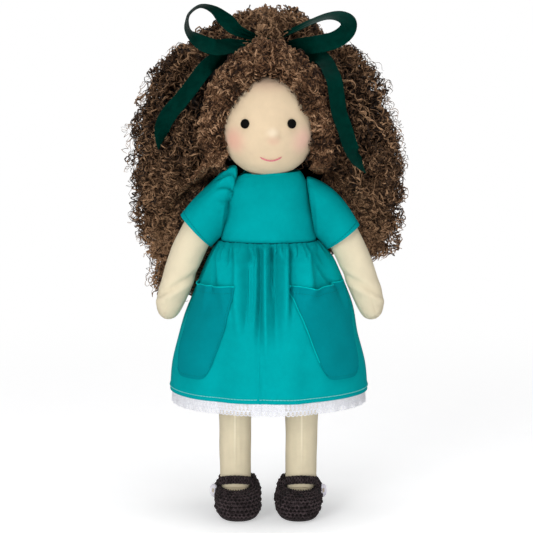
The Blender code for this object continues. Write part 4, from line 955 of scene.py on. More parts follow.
def make_lace(side, sign):
    """A netted band with eyelets under a row of scallops."""
    length = WAIST_Z - HEM_Z
    half_turn = math.pi
    pitch = half_turn * 2 / 150
    count = 75
    if sign > 0:
        middle = SEAM_ANGLE + (np.arange(count) + 0.5) * (math.pi - SEAM_ANGLE) / count
    else:
        middle = -math.pi + (np.arange(count) + 0.5) * (math.pi + SEAM_ANGLE) / count
    step = abs(middle[1] - middle[0])
    inset = -0.0016

    def laid(angle, fall):
        """Points at a distance in metres below the hem."""
        soft = 0.0004 * np.sin(angle * 37) * ease(fall, 0, 0.008)
        points = skirt_points(angle, np.ones_like(angle), inset, False)
        points[..., 2] -= fall
        away = unit(outward_flat(points))
        return points + away * (soft + 0.02 * fall)[..., None]

    drawn = []
    turn = np.linspace(0, TURN, 15)
    arc = np.linspace(0, math.pi, 12)
    for high, half, tall in ((0.0015, 0.40, 0.0009), (0.0037, 0.42, 0.0010)):
        shift = step / 2 if high > 0.003 else 0
        drawn.append(laid(middle[:, None] + shift + step * half * np.cos(turn), high + tall * np.sin(turn)))
    scallop = laid(middle[:, None] + step * 0.52 * np.cos(arc), 0.0050 + 0.0023 * np.sin(arc))
    inner = laid(middle[:, None] + step * 0.30 * np.cos(arc), 0.0049 + 0.0012 * np.sin(arc))
    pieces = [tubes(f"lace_{side}_a", np.concatenate(drawn), 0.00028, 5),
              tubes(f"lace_{side}_b", scallop, 0.00034, 5), tubes(f"lace_{side}_c", inner, 0.00026, 5)]
    angle = skirt_angles(sign, 400)
    runs = [laid(angle, np.full(400, fall) + 0.00015 * np.sin(angle * 150)) for fall in (0.0003, 0.0026, 0.0048)]
    pieces.append(tubes(f"lace_{side}_d", np.array(runs), 0.00030, 5))
    spokes = []
    for lean in (-1, 0, 1):
        t = np.linspace(0, 1, 6)[None]
        spokes.append(laid(middle[:, None] + step * 0.5 * lean * t, 0.0003 + 0.0046 * t + 0 * middle[:, None]))
    pieces.append(tubes(f"lace_{side}_e", np.concatenate(spokes), 0.00022, 4))
    angle = skirt_angles(sign, 260)
    band = np.array([laid(angle, np.full(260, fall)) for fall in np.linspace(-0.0040, 0.0006, 6)])
    pieces.append(shell(f"lace_{side}_f", band, 0.0004, False, 300, 8, outward_flat))
    lace = join("lace_" + side, pieces)
    finish(lace, lace_yarn, blend=skirt_blend(side, sign), replaces=("lace_trim",))


for side, sign in SIDES.items():
    make_skirt(side, sign)
    make_pocket(side, sign)
    make_lace(side, sign)


# ---------------------------------------------------------------- bodice and sleeves

def bodice_points(angle, height, outset):
    height = np.atleast_1d(height)
    rings = torso_rings(height - 0.0052 * ease(height, 0.190, 0.207), 0.0, 720)
    rings[..., 2] = height[:, None]
    column = (np.asarray(angle) / TURN * 720) % 720
    low = column.astype(int) % 720
    part = (column - np.floor(column))[:, None]
    row = rings[:, low] * (1 - part) + rings[:, (low + 1) % 720] * part
    row = row + unit(outward_flat(row)) * outset
    high = ease(row[..., 2], 0.1990, 0.2105)
    aside = row[..., 0] - 0.0020
    row[..., 2] -= (0.0050 * ease(np.abs(aside), 0.0140, 0.0225) + 0.0008 * ease(aside, 0.002, -0.008)) * high
    return row


def make_bodice():
    heights = np.concatenate([np.linspace(WAIST_Z - 0.0004, 0.2000, 46), np.linspace(0.2002, 0.2105, 22)])
    parts = {
        "bodice_front": (-math.pi / 2, math.pi / 2, 0.0014, 120),
        "bodice_back_left": (math.pi / 2, math.pi * 1.012, 0.0014, 80),
        "bodice_back_right": (-math.pi * 1.03, -math.pi / 2, 0.0014, 80),
    }
    for name, (start, stop, outset, count) in parts.items():
        angle = np.linspace(start, stop, count)
        points = bodice_points(angle, heights, 0)
        dip = np.maximum(0, 1 - (points[..., 0] / 0.0178) ** 2) * ease(heights, 0.200, 0.2105)[:, None]
        points[..., 2] -= 0.0007 * dip * (name == "bodice_front")
        away = unit(outward_flat(points))
        share = ((heights - WAIST_Z) / (0.2071 - WAIST_Z))[:, None]
        lap = 0.0007 * ease(np.abs(turned(angle - math.pi)), 0.12, 0.0)[None] * (name == "bodice_back_left")
        lift = outset + 0.0003 * wobble(points, 0.016, 41) + lap
        near_side = ease(np.abs(points[..., 0]), 0.017, 0.026)
        lift = lift + 0.0004 * near_side * np.sin(share * 17 + 2 * np.sign(points[..., 0])) * np.exp(-((share - 0.35) / 0.3) ** 2)
        lift = lift - 0.0006 * ease(share, 0.03, 0.0)
        points = points + away * lift[..., None]
        panel = shell(name + "_panel", points[::-1], 0.0006, False, count * 1.3, 140, outward_flat)
        finish(panel, cotton, ride="torso", replaces=(name,))


def make_waist_shadow_line():
    # A dark thread round the waist that stands in for the shadow in the seam: painted shadow.
    angle = np.linspace(-math.pi, math.pi, 300)
    line = bodice_points(angle, WAIST_Z - 0.0003, 0.0016)[0]
    seam = tubes("waist_shadow_line", [line], 0.00035, 6)
    finish(seam, painted_seam_shadow, ride="torso", replaces=("bodice_front",))


SLEEVES = {  # armhole's and cuff's top and bottom corners (across, height), puff and where it is fullest
    "left": ((0.0225, 0.2060), (0.0277, 0.1714), (0.0540, 0.1777), (0.0350, 0.1638), 0.0062, 0.75),
    "right": ((0.0182, 0.2084), (0.0270, 0.1722), (0.0525, 0.1840), (0.0343, 0.1652), 0.0072, 0.52),
}


def make_sleeve(side, sign):
    start_top, start_foot, end_top, end_foot, puff_size, fullest = SLEEVES[side]
    rows, columns = 90, 160
    share = np.linspace(0, 1, rows)[:, None]
    turn = np.linspace(0, TURN, columns, endpoint=False)[None]
    top = np.array(start_top) + np.subtract(end_top, start_top) * share
    foot = np.array(start_foot) + np.subtract(end_foot, start_foot) * share
    puff = puff_size * np.sin(math.pi * share**fullest)
    up = unit(top - foot)
    top = top + up * puff
    deep = 0.0098 + 0.0028 * ease(share, 0.0, 0.20) + 0.0008 * share + puff * 0.18
    centre, half = (top + foot) / 2, (top - foot) / 2
    points = np.stack([
        sign * (centre[:, :1] + half[:, :1] * np.cos(turn)),
        -deep * np.sin(turn) * (1 + 0.05 * np.sin(math.pi * share)),
        centre[:, 1:] + half[:, 1:] * np.cos(turn),
    ], -1)
    middle = points.mean(1, keepdims=True)
    out = unit(points - middle)
    circle = np.stack([np.cos(turn), np.sin(turn), 0 * turn], -1) + share[..., None] * [0.0, 0.0, 0.25]
    cap = ease(np.cos(turn), -0.35, 0.7)
    gather = wobble(circle, 0.16, 51 + sign) + 0.7 * wobble(circle, 0.09, 52 + sign)
    depth = 0.0008 if side == "right" else 0.0004
    lift = depth * gather * cap * ease(share, 0.0, 0.05) * np.exp(-share / 0.20)
    if side == "right":
        pleats = np.sin(turned(turn + 0.9 * share) * 15.0 + 1.1 * np.sin(2 * turn)) - 0.1
        lift = lift + 0.0026 * pleats * ease(np.cos(turn), -0.35, 0.35) * ease(share, 0.0, 0.07) * (1 - ease(share, 0.12, 0.42))
    else:
        notch = np.exp(-(((share - 0.06) / 0.04) ** 2)) * np.exp(-((turned(turn - 2.1) / 0.30) ** 2))
        lift = lift - 0.0003 * notch
    hollow = ease(-np.cos(turn), -0.55, 0.3) * (1 - ease(share, 0.05, 0.18)) * (1.6 if side == "right" else 0.35)
    lift = lift - 0.0022 * hollow
    if side == "right":
        groove = np.exp(-(((share - 0.075) / 0.045) ** 2)) * np.exp(-(((np.cos(turn) + 0.05) / 0.36) ** 2))
        lift = lift - 0.0030 * groove * ease(np.sin(turn), 0.2, 0.6)
    lift = lift + 0.0005 * wobble(points, 0.016, 53 + sign) * ease(share, 0.0, 0.2)
    lift = lift - 0.0010 * ease(share, 0.035, 0.0) + 0.00018 * ease(share, 0.925, 0.935)
    points = points + out * lift[..., None]
    sleeve = shell(f"sleeve_{side}_cloth", points, 0.0006, True, 260, 110, lambda p: p - p.mean(1, keepdims=True))
    blend = ("torso", "arm_" + side, (sign * 0.0262, 0, 0.1880), (sign * 0.0400, 0, 0.1765))
    finish(sleeve, cotton, blend=blend, replaces=("sleeve_" + side,))
    row = int(rows * 0.925)
    ring = np.vstack([points[row], points[row][:1]])
    away = unit(ring - ring[:-1].mean(0))
    made = [dashes(f"cuff_{side}_line", ring + away * 0.0001, away, 0.0014, 0.0006, 0.00016, 0.0002)]
    ring = np.vstack([points[2], points[2][:1]])
    away = unit(ring - ring[:-1].mean(0))
    made.append(dashes(f"armhole_{side}_line", ring + away * 0.0002, away, 0.0012, 0.0007, 0.00016, 0.0002))
    threads = join(f"sleeve_{side}_stitches", made)
    finish(threads, teal_thread, blend=blend, replaces=("sleeve_" + side,))


make_bodice()
make_waist_shadow_line()
for side, sign in SIDES.items():
    make_sleeve(side, sign)


# ---------------------------------------------------------------- hair

HAIR_BLEND = ("head", "torso", (0, 0, 0.240), (0, 0, 0.196))
# Height, then the hair's reach to the doll's right and left, its front and its back, in mm
MANE = (
    (128.0, 66, 50, 16, 38), (138.0, 70, 60, 14, 38), (153.0, 74, 72, 10, 37), (161.0, 76, 79, 8, 37),
    (179.0, 79, 79, 5, 36), (203.0, 82, 82, 0, 36), (212.0, 82, 81, -4, 36), (223.0, 82, 80, -7, 36),
    (240.0, 79, 76, -6, 36), (253.5, 76, 71, -1, 36), (264.0, 70, 66, 4, 35), (274.5, 62, 58, 8, 34),
    (281.0, 55, 49, 10, 33), (289.0, 45, 38, 11, 31), (297.5, 32, 28, 12, 28), (302.0, 22, 19, 12, 25), (304.5, 14, 12, 13, 22),
)


def mane(sign, turn, height, share):
    """Points of one side's mass, where turns run from the front over the side, at 0, to the back."""
    rows = np.array(MANE, float) * MM
    right, left, front, back = (np.interp(height, rows[:, 0], rows[:, k]) for k in (1, 2, 3, 4))
    across, along = np.cos(turn), np.sin(turn)
    swell = (np.abs(across) ** 2.3 + np.abs(along) ** 2.3) ** (-1 / 2.3)
    middle, half = (front + back) / 2, (back - front) / 2
    x = sign * across * swell * (left if sign > 0 else right) * share
    return np.stack([x, middle + along * swell * half * share, height + 0 * x], -1)


def clear_of_body(points, margin):
    """Pushes points out of the head, and behind the shoulders, arms and dress."""
    out = points - [0, 0, HEAD_Z]
    rise = np.where(out[..., 2] > 0, CROWN_RISE, CHIN_DROP)
    far = np.sqrt((out[..., 0] / HEAD_WIDE) ** 2 + (out[..., 1] / HEAD_DEEP) ** 2 + (out[..., 2] / rise) ** 2)
    least = 1 + (0.0016 + margin) / HEAD_WIDE
    points = [0, 0, HEAD_Z] + out * np.maximum(1, least / np.maximum(far, 0.05))[..., None]
    arm = np.interp(points[..., 2], (0.121, 0.150, 0.178, 0.190, 0.207), (0.074, 0.066, 0.058, 0.052, 0.034))
    low = ease(points[..., 2], 0.214, 0.204) * ease(np.abs(points[..., 0]), arm + 0.010, arm + 0.002)
    flare = 0.42 * np.maximum(0, 0.166 - points[..., 2]) * ease(np.abs(points[..., 0]), 0.060, 0.020)
    flare = flare + 0.0020 * np.abs(wobble(points, 0.007, 340)) * (margin > 0.0003)
    points[..., 1] += np.maximum(0, 0.0156 + margin + flare - points[..., 1]) * low
    return points


def curls(paths, radius, pitch, rng, turns):
    """Coils round guide paths, (count, steps, 3), with radii and pitches that drift along each."""
    count, steps = paths.shape[:2]
    length = np.linalg.norm(np.diff(paths, axis=1), axis=-1).sum(1)
    fine = int(np.clip(np.median(length) / pitch * turns, 12, 400))
    share = np.linspace(0, steps - 1, fine)
    low = np.minimum(share.astype(int), steps - 2)
    part = (share - low)[None, :, None]
    dense = paths[:, low] * (1 - part) + paths[:, low + 1] * part
    side, other = frames_along(dense)
    along = np.linspace(0, 1, fine)[None] * np.ones((count, 1))
    drift = 0
    for _ in range(3):
        drift = drift + np.sin(along * TURN * rng.uniform(0.6, 3.0, (count, 1)) + rng.uniform(0, TURN, (count, 1)))
    twist = along * (length / pitch)[:, None] * TURN * rng.uniform(0.75, 1.25, (count, 1)) + 1.3 * drift
    twist = twist * np.sign(rng.normal(size=(count, 1))) + rng.uniform(0, TURN, (count, 1))
    size = radius * rng.uniform(0.5, 1.45, (count, 1)) * (1 + 0.18 * drift)
    size = size * (0.35 + 0.65 * ease(along, 0, 0.12)) * (0.6 + 0.4 * ease(along, 1, 0.9))
    lean = rng.uniform(0.65, 1.0, (count, 1))
    return dense + side * (np.cos(twist) * size)[..., None] + other * (np.sin(twist) * size * lean)[..., None]


def stir(points, size, depth, seed):
    """Moves points by smooth noise in each direction, the same for neighbours, so that locks bunch up."""
    return points + depth * np.stack([wobble(points, size, seed + k, 9) for k in range(3)], -1)


def frizz(name, guides, radius, pitch, thick, seed, material, replaces, fibres=2, turns=8, margin=0.0006, pale=0.0):
    """A piece of curly hair: each guide becomes a lock of fibres that nearly share one coil."""
    rng = np.random.default_rng(seed)
    middle = guides.mean(1)
    # Each lock's tone: random from lock to lock, raised by pale, and lighter near the top of the hair as painted light
    # from above; also lighter towards the foot of the mass.
    tone = 0.46 + pale + 0.26 * wobble(middle, 0.007, 77, 9) + rng.normal(size=len(guides)) * 0.20
    tone = tone + 0.30 * ease(middle[:, 2], 0.215, 0.160) + 0.16 * ease(middle[:, 2], 0.270, 0.300)
    made, tints = [], []
    for fibre in range(fibres):
        paths = curls(guides, radius * (1 - 0.12 * fibre), pitch, np.random.default_rng(seed + 1), turns)
        paths = paths + rng.normal(size=(len(guides), 1, 3)) * 0.0003 * (fibre > 0)
        made.append(stir(paths, 0.0024, 0.00024, seed + 31 * fibre))
        tints.append(np.clip(tone + rng.normal(size=len(guides)) * 0.16, 0, 1))
    paths = clear_of_body(np.concatenate(made), margin)
    along = np.linspace(0, 1, paths.shape[1])[None]
    taper = 0.35 + 0.65 * ease(along, 1.0, 0.92)
    swell = 1 + 0.35 * np.sin(along * rng.uniform(20, 60, (len(paths), 1)) + rng.uniform(0, TURN, (len(paths), 1)))
    width = thick * rng.uniform(0.7, 1.3, (len(paths), 1)) * taper * swell
    hair = tubes(name, paths, width, 3, np.concatenate(tints))
    finish(hair, material, blend=HAIR_BLEND, replaces=replaces)


def mane_guides(sign, count, turns, heights, lengths, shares, seed):
    """Guides that run down one side's mass from random places in it."""
    rng = np.random.default_rng(seed)
    start, length, turn, share = (rng.uniform(*ends, (count, 1)) for ends in (heights, lengths, turns, shares))
    foot = (0.157 if sign > 0 else 0.130) + rng.uniform(-0.004, 0.006, (count, 1))
    length = np.clip(start - foot, 0.006, length)
    t = np.linspace(0, 1, 26)[None]
    z = start - length * t
    spread = share + rng.normal(size=(count, 1)) * 0.06 * t
    points = mane(sign, turn + rng.normal(size=(count, 1)) * 0.26 * t, z, np.clip(spread, 0.3, 1.02))
    points = stir(stir(points, 0.026, 0.0022, 300), 0.0075, 0.0026, 330)
    faceward = (np.abs(points[..., 0]) < 0.031) & (points[..., 1] < 0.014) & (points[..., 2] < 0.272)
    return points[~faceward.any(1)]


def turn_outward(obj):
    """Makes a closed surface face outwards."""
    mesh = obj.data
    mesh.calc_loop_triangles()
    corner = np.array([tri.vertices[:] for tri in mesh.loop_triangles])
    co = np.empty(len(mesh.vertices) * 3, np.float32)
    mesh.vertices.foreach_get("co", co)
    a, b, c = co.reshape(-1, 3)[corner].transpose(1, 0, 2)
    if np.sum(a * np.cross(b, c)) < 0:
        mesh.flip_normals()


def make_core(side, sign):
    """A thick dark band inside one side's hair, from the shoulder round to the middle of the back: painted shade inside
    the hair.
    """
    height = np.linspace(0.166 if sign > 0 else 0.150, 0.295, 70)[:, None]
    outer, inner = np.linspace(-1.30, math.pi / 2, 60)[None], np.linspace(math.pi / 2, -1.30, 40)[None]
    slim = 0.80 - 0.26 * ease(height, 0.212, 0.165)
    ring = np.concatenate([mane(sign, outer, height, slim + 0 * outer), mane(sign, inner, height, 0.42 + 0 * inner)], 1)
    ring = ring + unit(ring - ring.mean(1, keepdims=True)) * (0.0018 * wobble(ring, 0.006, 610 + sign, 12))[..., None]
    ring = clear_of_body(ring, 0.0002)
    hidden = ease(ring[..., 2], 0.222, 0.212)
    ring[..., 1] += np.maximum(0, 0.0190 - ring[..., 1]) * hidden
    core = tube_surface(f"hair_{side}_core", ring, 60, 60, start=ring[0].mean(0), end=ring[-1].mean(0))
    turn_outward(core)
    finish(core, painted_hair_shade, blend=HAIR_BLEND, replaces=("hair_" + side,))


# The paleness column paints light and shade: locks inside the mass are darker as painted shade, the outer and top ones
# lighter as painted light.
LOCKS = (  # name, count, turns, heights, lengths, shares of the reach, coil radius, pitch, thickness, paleness
    ("front_curls", 250, (-1.35, -0.25), (0.200, 0.300), (0.026, 0.050), (0.70, 0.95), 0.0018, 0.0046, 0.00033, 0.04),
    ("front_waves", 230, (-1.30, -0.10), (0.172, 0.232), (0.026, 0.050), (0.76, 0.95), 0.0018, 0.0056, 0.00029, 0.04),
    ("shoulder_curls", 230, (-1.35, -0.55), (0.172, 0.222), (0.022, 0.045), (0.50, 0.88), 0.0017, 0.0046, 0.00031, -0.05),
    ("outer_curls", 250, (-0.5, 0.9), (0.195, 0.298), (0.026, 0.050), (0.80, 0.965), 0.0019, 0.0047, 0.00029, 0.04),
    ("outer_waves", 190, (-0.5, 0.9), (0.168, 0.225), (0.026, 0.045), (0.74, 0.975), 0.0018, 0.0060, 0.00026, 0.10),
    ("inner_locks", 200, (-1.2, 0.4), (0.178, 0.285), (0.030, 0.055), (0.56, 0.80), 0.0020, 0.0052, 0.00034, -0.30),
    ("top_curls", 150, (-1.5, 1.6), (0.284, 0.3045), (0.010, 0.026), (0.72, 0.98), 0.0018, 0.0046, 0.00031, 0.06),
    ("back_curls", 310, (0.55, 1.65), (0.172, 0.300), (0.035, 0.060), (0.84, 1.0), 0.0021, 0.0056, 0.00038, 0.04),
)


def make_mane(side, sign):
    make_core(side, sign)
    for index, (name, count, turns, heights, lengths, shares, radius, pitch, thick, pale) in enumerate(LOCKS):
        if sign < 0:
            heights = (heights[0] - 0.016 * (heights[0] < 0.19), heights[1])
        seed = 700 + 40 * index + sign
        node = "hair_back" if name == "back_curls" else "hair_" + side
        guides = mane_guides(sign, count, turns, heights, lengths, shares, seed)
        frizz(f"hair_{side}_{name}", guides, radius, pitch, thick, seed, mohair, (node,), pale=pale)


def make_wisps(side, sign):
    """Single fine hairs that stand out from the outline."""
    rng = np.random.default_rng(820 + sign)
    count = 260
    heights = (0.170, 0.298) if sign > 0 else (0.152, 0.298)
    guides = mane_guides(sign, count, (-0.9, 0.9), heights, (0.010, 0.022), (0.92, 1.0), 822 + sign)
    middle = guides.mean(1, keepdims=True) * [1, 0, 1] - [0, 0, 0.23]
    t = np.linspace(0, 1, guides.shape[1])[None, :, None]
    guides = guides + unit(middle) * 0.004 * rng.uniform(0.1, 1.0, (len(guides), 1, 1)) * t**2
    frizz(f"hair_{side}_wisps", guides, 0.0019, 0.0062, 0.00017, 824 + sign, mohair, ("hair_" + side,), 1, 10, pale=0.1)


def make_crest():
    """The curls that stand up behind the bow, and the few before its knot."""
    rng = np.random.default_rng(840)
    for name, count, centre, reach, low in (
        ("crest_back", 250, (-0.001, 0.0195, 0.2790), (0.033, 0.0095, 0.0265), 0.15),
        ("crest_front", 90, (0.0, 0.0030, 0.2800), (0.0085, 0.0075, 0.0205), -0.1),
    ):
        turn, rise = rng.uniform(0, TURN, (count, 1)), rng.uniform(low, 1.45, (count, 1))
        t = np.linspace(-0.5, 0.5, 20)[None]
        turn, rise = turn + rng.normal(size=(count, 1)) * 1.1 * t, rise + rng.normal(size=(count, 1)) * 0.9 * t
        share = rng.uniform(0.72, 1.0, (count, 1))
        points = np.array(centre) + share[..., None] * np.array(reach) * np.stack(
            [np.cos(turn) * np.cos(rise), np.sin(turn) * np.cos(rise), np.sin(rise)], -1)
        guides = stir(points, 0.010, 0.0012, 842)
        # The crest's paleness of 0.42 makes it lighter: painted light from above.
        frizz("hair_" + name, guides, 0.0017, 0.0040, 0.00030, 844 + count, mohair, ("hair_back",), pale=0.42)


ROLL_SHARES = ((0.0, 0.35), (0.18, 0.62), (0.45, 0.72), (0.75, 0.86), (1.0, 1.05))
# The hairline from the right cheek over the peak to the left cheek, across and height in mm
HAIRLINE = (
    (-23.6, 219.0), (-25.0, 227.0), (-25.6, 236.0), (-24.8, 243.0), (-22.6, 247.0), (-18.7, 251.5), (-14.4, 256.5),
    (-10.2, 261.0), (-5.5, 264.6), (0.8, 266.8), (4.2, 264.6), (9.8, 261.4), (14.6, 256.4), (17.8, 250.8),
    (21.0, 245.4), (24.2, 240.6), (24.2, 236.0), (25.0, 229.0), (23.6, 219.0),
)


def roll(share, around, grow):
    """Points on the roll of curls round the face. Around it, 0 faces away from the face and a quarter turn the front."""
    angle = np.radians(-34 + 248 * share)
    thick = 0.0100 * lookup(ROLL_SHARES, 1 - np.abs(2 * share - 1))[0] * grow
    x, z = np.cos(angle), np.sin(angle)
    out = thick * np.cos(around)
    return np.stack([0.0332 * x + out * x, -0.0070 - 0.85 * thick * np.sin(around), HEAD_Z + 0.0430 * z + out * z], -1)


def roll_guides(count, seed, shares, starts, ends, lean, grow):
    rng = np.random.default_rng(seed)
    share, start, end = (rng.uniform(*pair, (count, 1)) for pair in (shares, starts, ends))
    t = np.linspace(0, 1, 22)[None]
    place = np.clip(share + rng.normal(size=(count, 1)) * lean * t, 0.005, 0.995)
    points = roll(place, start + (end - start) * t, rng.uniform(*grow, (count, 1)))
    return stir(stir(points, 0.008, 0.0009, 400), 0.0032, 0.0007, 410)


def hairline_guides(count, seed, reach):
    """Guides from the hairline on the forehead and cheeks back over the roll, or along the hairline."""
    rng = np.random.default_rng(seed)
    line = smooth(HAIRLINE, 400) * MM
    t = np.linspace(0, 1, 22)[None, :, None]
    place = rng.uniform(0.0, 1.0, count)
    if reach == "along":
        span = rng.uniform(0.03, 0.07, (count, 1)) * np.sign(rng.normal(size=(count, 1)))
        where = np.clip(place[:, None] + span * t[..., 0], 0, 1) * 399
        x, z = np.interp(where, np.arange(400), line[:, 0]), np.interp(where, np.arange(400), line[:, 1])
        out = rng.uniform(-0.0002, 0.0022, (count, 1))
        far = np.hypot(x, z - HEAD_Z)
        x, z = x * (1 + out / far), HEAD_Z + (z - HEAD_Z) * (1 + out / far)
        return face_place(x, z, 0.0016 + 0.4 * out)[0]
    x, z = (np.interp(place * 399, np.arange(400), line[:, k]) for k in (0, 1))
    within = 1 - rng.uniform(-0.2, 1.0, count) ** 3 * 0.0026 / np.hypot(x, z - HEAD_Z)
    x, z = x * within, HEAD_Z + (z - HEAD_Z) * within
    start = face_place(x, z, 0.0016)[0]
    angle = np.degrees(np.arctan2((z - HEAD_Z) / 0.0430, x / 0.0332))
    share = np.clip((np.where(angle < -90, angle + 360, angle) + 34) / 248, 0.01, 0.99)
    share = share + rng.normal(size=count) * 0.02
    grow = rng.uniform(0.88, 1.04, count)
    near, far = roll(share, np.full(count, 2.2), grow), roll(share, rng.uniform(0.7, 1.5, count), grow)
    near[:, 1] = np.minimum(near[:, 1], start[:, 1] * 0.4 + near[:, 1] * 0.6)
    start, near, far = start[:, None], near[:, None], far[:, None]
    return stir(start * (1 - t) ** 2 + near * 2 * t * (1 - t) + far * t**2, 0.008, 0.0006, 430)


def make_fringe():
    place, around = np.meshgrid(np.linspace(0.0, 1.0, 150), np.linspace(0, TURN, 48, endpoint=False), indexing="ij")
    points = roll(place, around, 0.80)
    points = points + unit(points - points.mean(1, keepdims=True)) * (0.0009 * wobble(points, 0.004, 640, 12))[..., None]
    points = clear_of_body(points, -0.0004)
    # A dark core inside the roll: painted shade inside the fringe.
    core = tube_surface("fringe_core", points, 60, 60, start=points[0].mean(0), end=points[-1].mean(0))
    turn_outward(core)
    finish(core, painted_hair_shade, blend=HAIR_BLEND, replaces=("hair_crown",))
    rows = (  # count, shares along, starts and ends round the roll, lean, grow, coil radius, pitch, thickness
        ("over_right", 170, (0.5, 1.0), (2.2, 2.9), (-0.5, 0.6), 0.030, (0.84, 1.06), 0.0015, 0.0032, 0.00028),
        ("over_left", 170, (0.0, 0.5), (2.2, 2.9), (-0.5, 0.6), 0.030, (0.84, 1.06), 0.0015, 0.0032, 0.00028),
        ("along", 160, (0.05, 0.95), (0.4, 2.4), (0.4, 2.4), 0.110, (0.92, 1.08), 0.0014, 0.0031, 0.00027),
    )
    for index, (name, count, shares, starts, ends, lean, grow, radius, pitch, thick) in enumerate(rows):
        seed = 900 + 70 * index
        guides = roll_guides(count, seed, shares, starts, ends, lean, grow)
        frizz("fringe_" + name, guides, radius, pitch, thick, seed, fringe_mohair, ("hair_crown",), margin=-0.0008)
    guides = hairline_guides(260, 1130, "over")
    frizz("fringe_lap", guides, 0.0012, 0.0030, 0.00026, 1131, fringe_mohair, ("hair_crown",), margin=-0.0010)
    guides = hairline_guides(110, 1140, "along")
    frizz("fringe_edge", guides, 0.0009, 0.0021, 0.00021, 1141, fringe_mohair, ("hair_crown",), margin=-0.0011)


def make_cover():
    """The curls that cover the cap between the roll and the mass behind it."""
    rng = np.random.default_rng(1160)
    t = np.linspace(-0.5, 0.5, 22)[None]
    for side, sign in SIDES.items():
        count = 190
        turn = rng.uniform(-0.35, math.pi / 2 + 0.1, (count, 1)) + rng.normal(size=(count, 1)) * 0.5 * t
        place = rng.uniform(-0.004, 0.016, (count, 1)) + rng.normal(size=(count, 1)) * 0.014 * t
        grow = rng.uniform(1.08, 1.30, (count, 1)) * np.sqrt(np.maximum(0.2, 1 - (place / HEAD_DEEP) ** 2))
        points = np.stack([sign * np.cos(turn) * HEAD_WIDE * grow, place, HEAD_Z + np.sin(turn) * CROWN_RISE * grow], -1)
        guides = stir(points, 0.008, 0.0012, 1162)
        frizz(f"hair_{side}_cover", guides, 0.0017, 0.0042, 0.00030, 1164 + sign, mohair, ("hair_crown",))


def make_lock():
    """The lock that falls from the roll's foot over the doll's right shoulder."""
    path = smooth([(-33.5, -9.0, 227.0), (-34.5, -12.5, 219.5), (-37.0, -14.0, 213.5), (-40.5, -14.5, 208.0), (-44.0, -14.0, 204.0)], 26)
    rng = np.random.default_rng(1150)
    t = np.linspace(0, 1, 26)[:, None]
    spread = rng.normal(size=(34, 1, 3)) * (0.0006 + 0.0009 * t) + rng.normal(size=(34, 1, 3)) * 0.0006
    guides = path * MM + spread
    frizz("fringe_lock", guides, 0.0013, 0.0040, 0.00026, 1151, fringe_mohair, ("hair_crown",), margin=-0.0010, pale=0.12)


def make_cap():
    """The crocheted cap that the hair is knotted to, over the back and top of the head."""
    grow = 0.0012
    rows, columns = 60, 150
    round_axis = np.linspace(0, TURN, columns, endpoint=False)[None]
    widest = math.acos(-0.0070 / (HEAD_DEEP + grow))
    down = np.maximum(1e-3, -np.sin(round_axis)) * (CHIN_DROP + grow)
    limit = np.where(np.sin(round_axis) < 0, np.arcsin(np.clip((HEAD_Z - 0.2160) / down, 0, 1)), widest)
    limit = np.where(limit >= math.pi / 2 - 1e-6, widest, limit)
    tilt = np.linspace(0.03, 1, rows)[:, None] * limit
    rise = np.where(np.sin(round_axis) > 0, CROWN_RISE, CHIN_DROP) + grow
    points = np.stack([
        (HEAD_WIDE + grow) * np.sin(tilt) * np.cos(round_axis),
        (HEAD_DEEP + grow) * np.cos(tilt),
        HEAD_Z + rise * np.sin(tilt) * np.sin(round_axis),
    ], -1)
    points = points + unit(points - [0, 0, HEAD_Z]) * (0.00012 * np.sin(tilt * 60) * np.sin(round_axis * 50))[..., None]
    cap = shell("wig_cap", points, 0.0009, True, 60, 40, lambda p: p - [0, 0, HEAD_Z])
    finish(cap, cap_yarn, ride="head", replaces=("hair_cap",))


for side, sign in SIDES.items():
    make_mane(side, sign)
    make_wisps(side, sign)
make_crest()
make_fringe()
make_cover()
make_lock()
make_cap()


# ---------------------------------------------------------------- bow

KNOT = np.array((0.0, 0.0105, 0.2850))
BOW_REACH, RIBBON_WIDTH = 0.0500, 0.0102
# Paths from the knot in bow reaches (across, back, up), with the ribbon's turn towards the front in degrees
BOW = {
    "loop_right": (
        (-0.10, 0.00, 0.065, 60), (-0.36, -0.14, 0.16, 82), (-0.51, -0.22, 0.30, 55), (-0.64, -0.26, 0.41, 26),
        (-0.80, -0.28, 0.45, 10), (-0.93, -0.29, 0.36, 6), (-0.96, -0.30, 0.24, 10), (-0.92, -0.34, 0.12, 26),
        (-0.78, -0.36, 0.01, 58), (-0.62, -0.36, -0.04, 64), (-0.46, -0.20, -0.03, 60), (-0.27, -0.02, -0.02, 56),
        (-0.10, 0.00, 0.00, 56),
    ),
    "loop_left": (
        (0.10, 0.00, 0.065, 50), (0.28, -0.06, 0.14, 24), (0.48, -0.20, 0.235, 18), (0.68, -0.26, 0.31, 22),
        (0.83, -0.30, 0.315, 38), (0.93, -0.34, 0.255, 62), (0.920, -0.38, 0.165, 78), (0.84, -0.40, 0.085, 86),
        (0.72, -0.40, 0.030, 88), (0.56, -0.38, 0.000, 86), (0.42, -0.22, -0.020, 76), (0.27, -0.03, -0.02, 64),
        (0.10, 0.00, 0.00, 56),
    ),
    "tail_right": (
        (-0.10, 0.00, -0.065, 56), (-0.40, -0.03, -0.17, 58), (-0.62, -0.26, -0.19, 62), (-0.76, -0.42, -0.30, 62),
        (-0.91, -0.44, -0.50, 60), (-1.04, -0.42, -0.66, 62), (-1.16, -0.40, -0.80, 70), (-1.24, -0.38, -0.94, 60),
        (-1.26, -0.36, -1.08, 48), (-1.25, -0.34, -1.21, 30),
    ),
    "tail_left": (
        (0.10, 0.00, -0.065, 56), (0.38, -0.01, -0.16, 58), (0.62, -0.20, -0.17, 62), (0.75, -0.44, -0.38, 64),
        (0.79, -0.47, -0.58, 66), (0.82, -0.46, -0.78, 64), (0.89, -0.44, -0.98, 62), (0.95, -0.42, -1.16, 60),
        (1.03, -0.40, -1.33, 50), (1.17, -0.38, -1.47, 30),
    ),
}


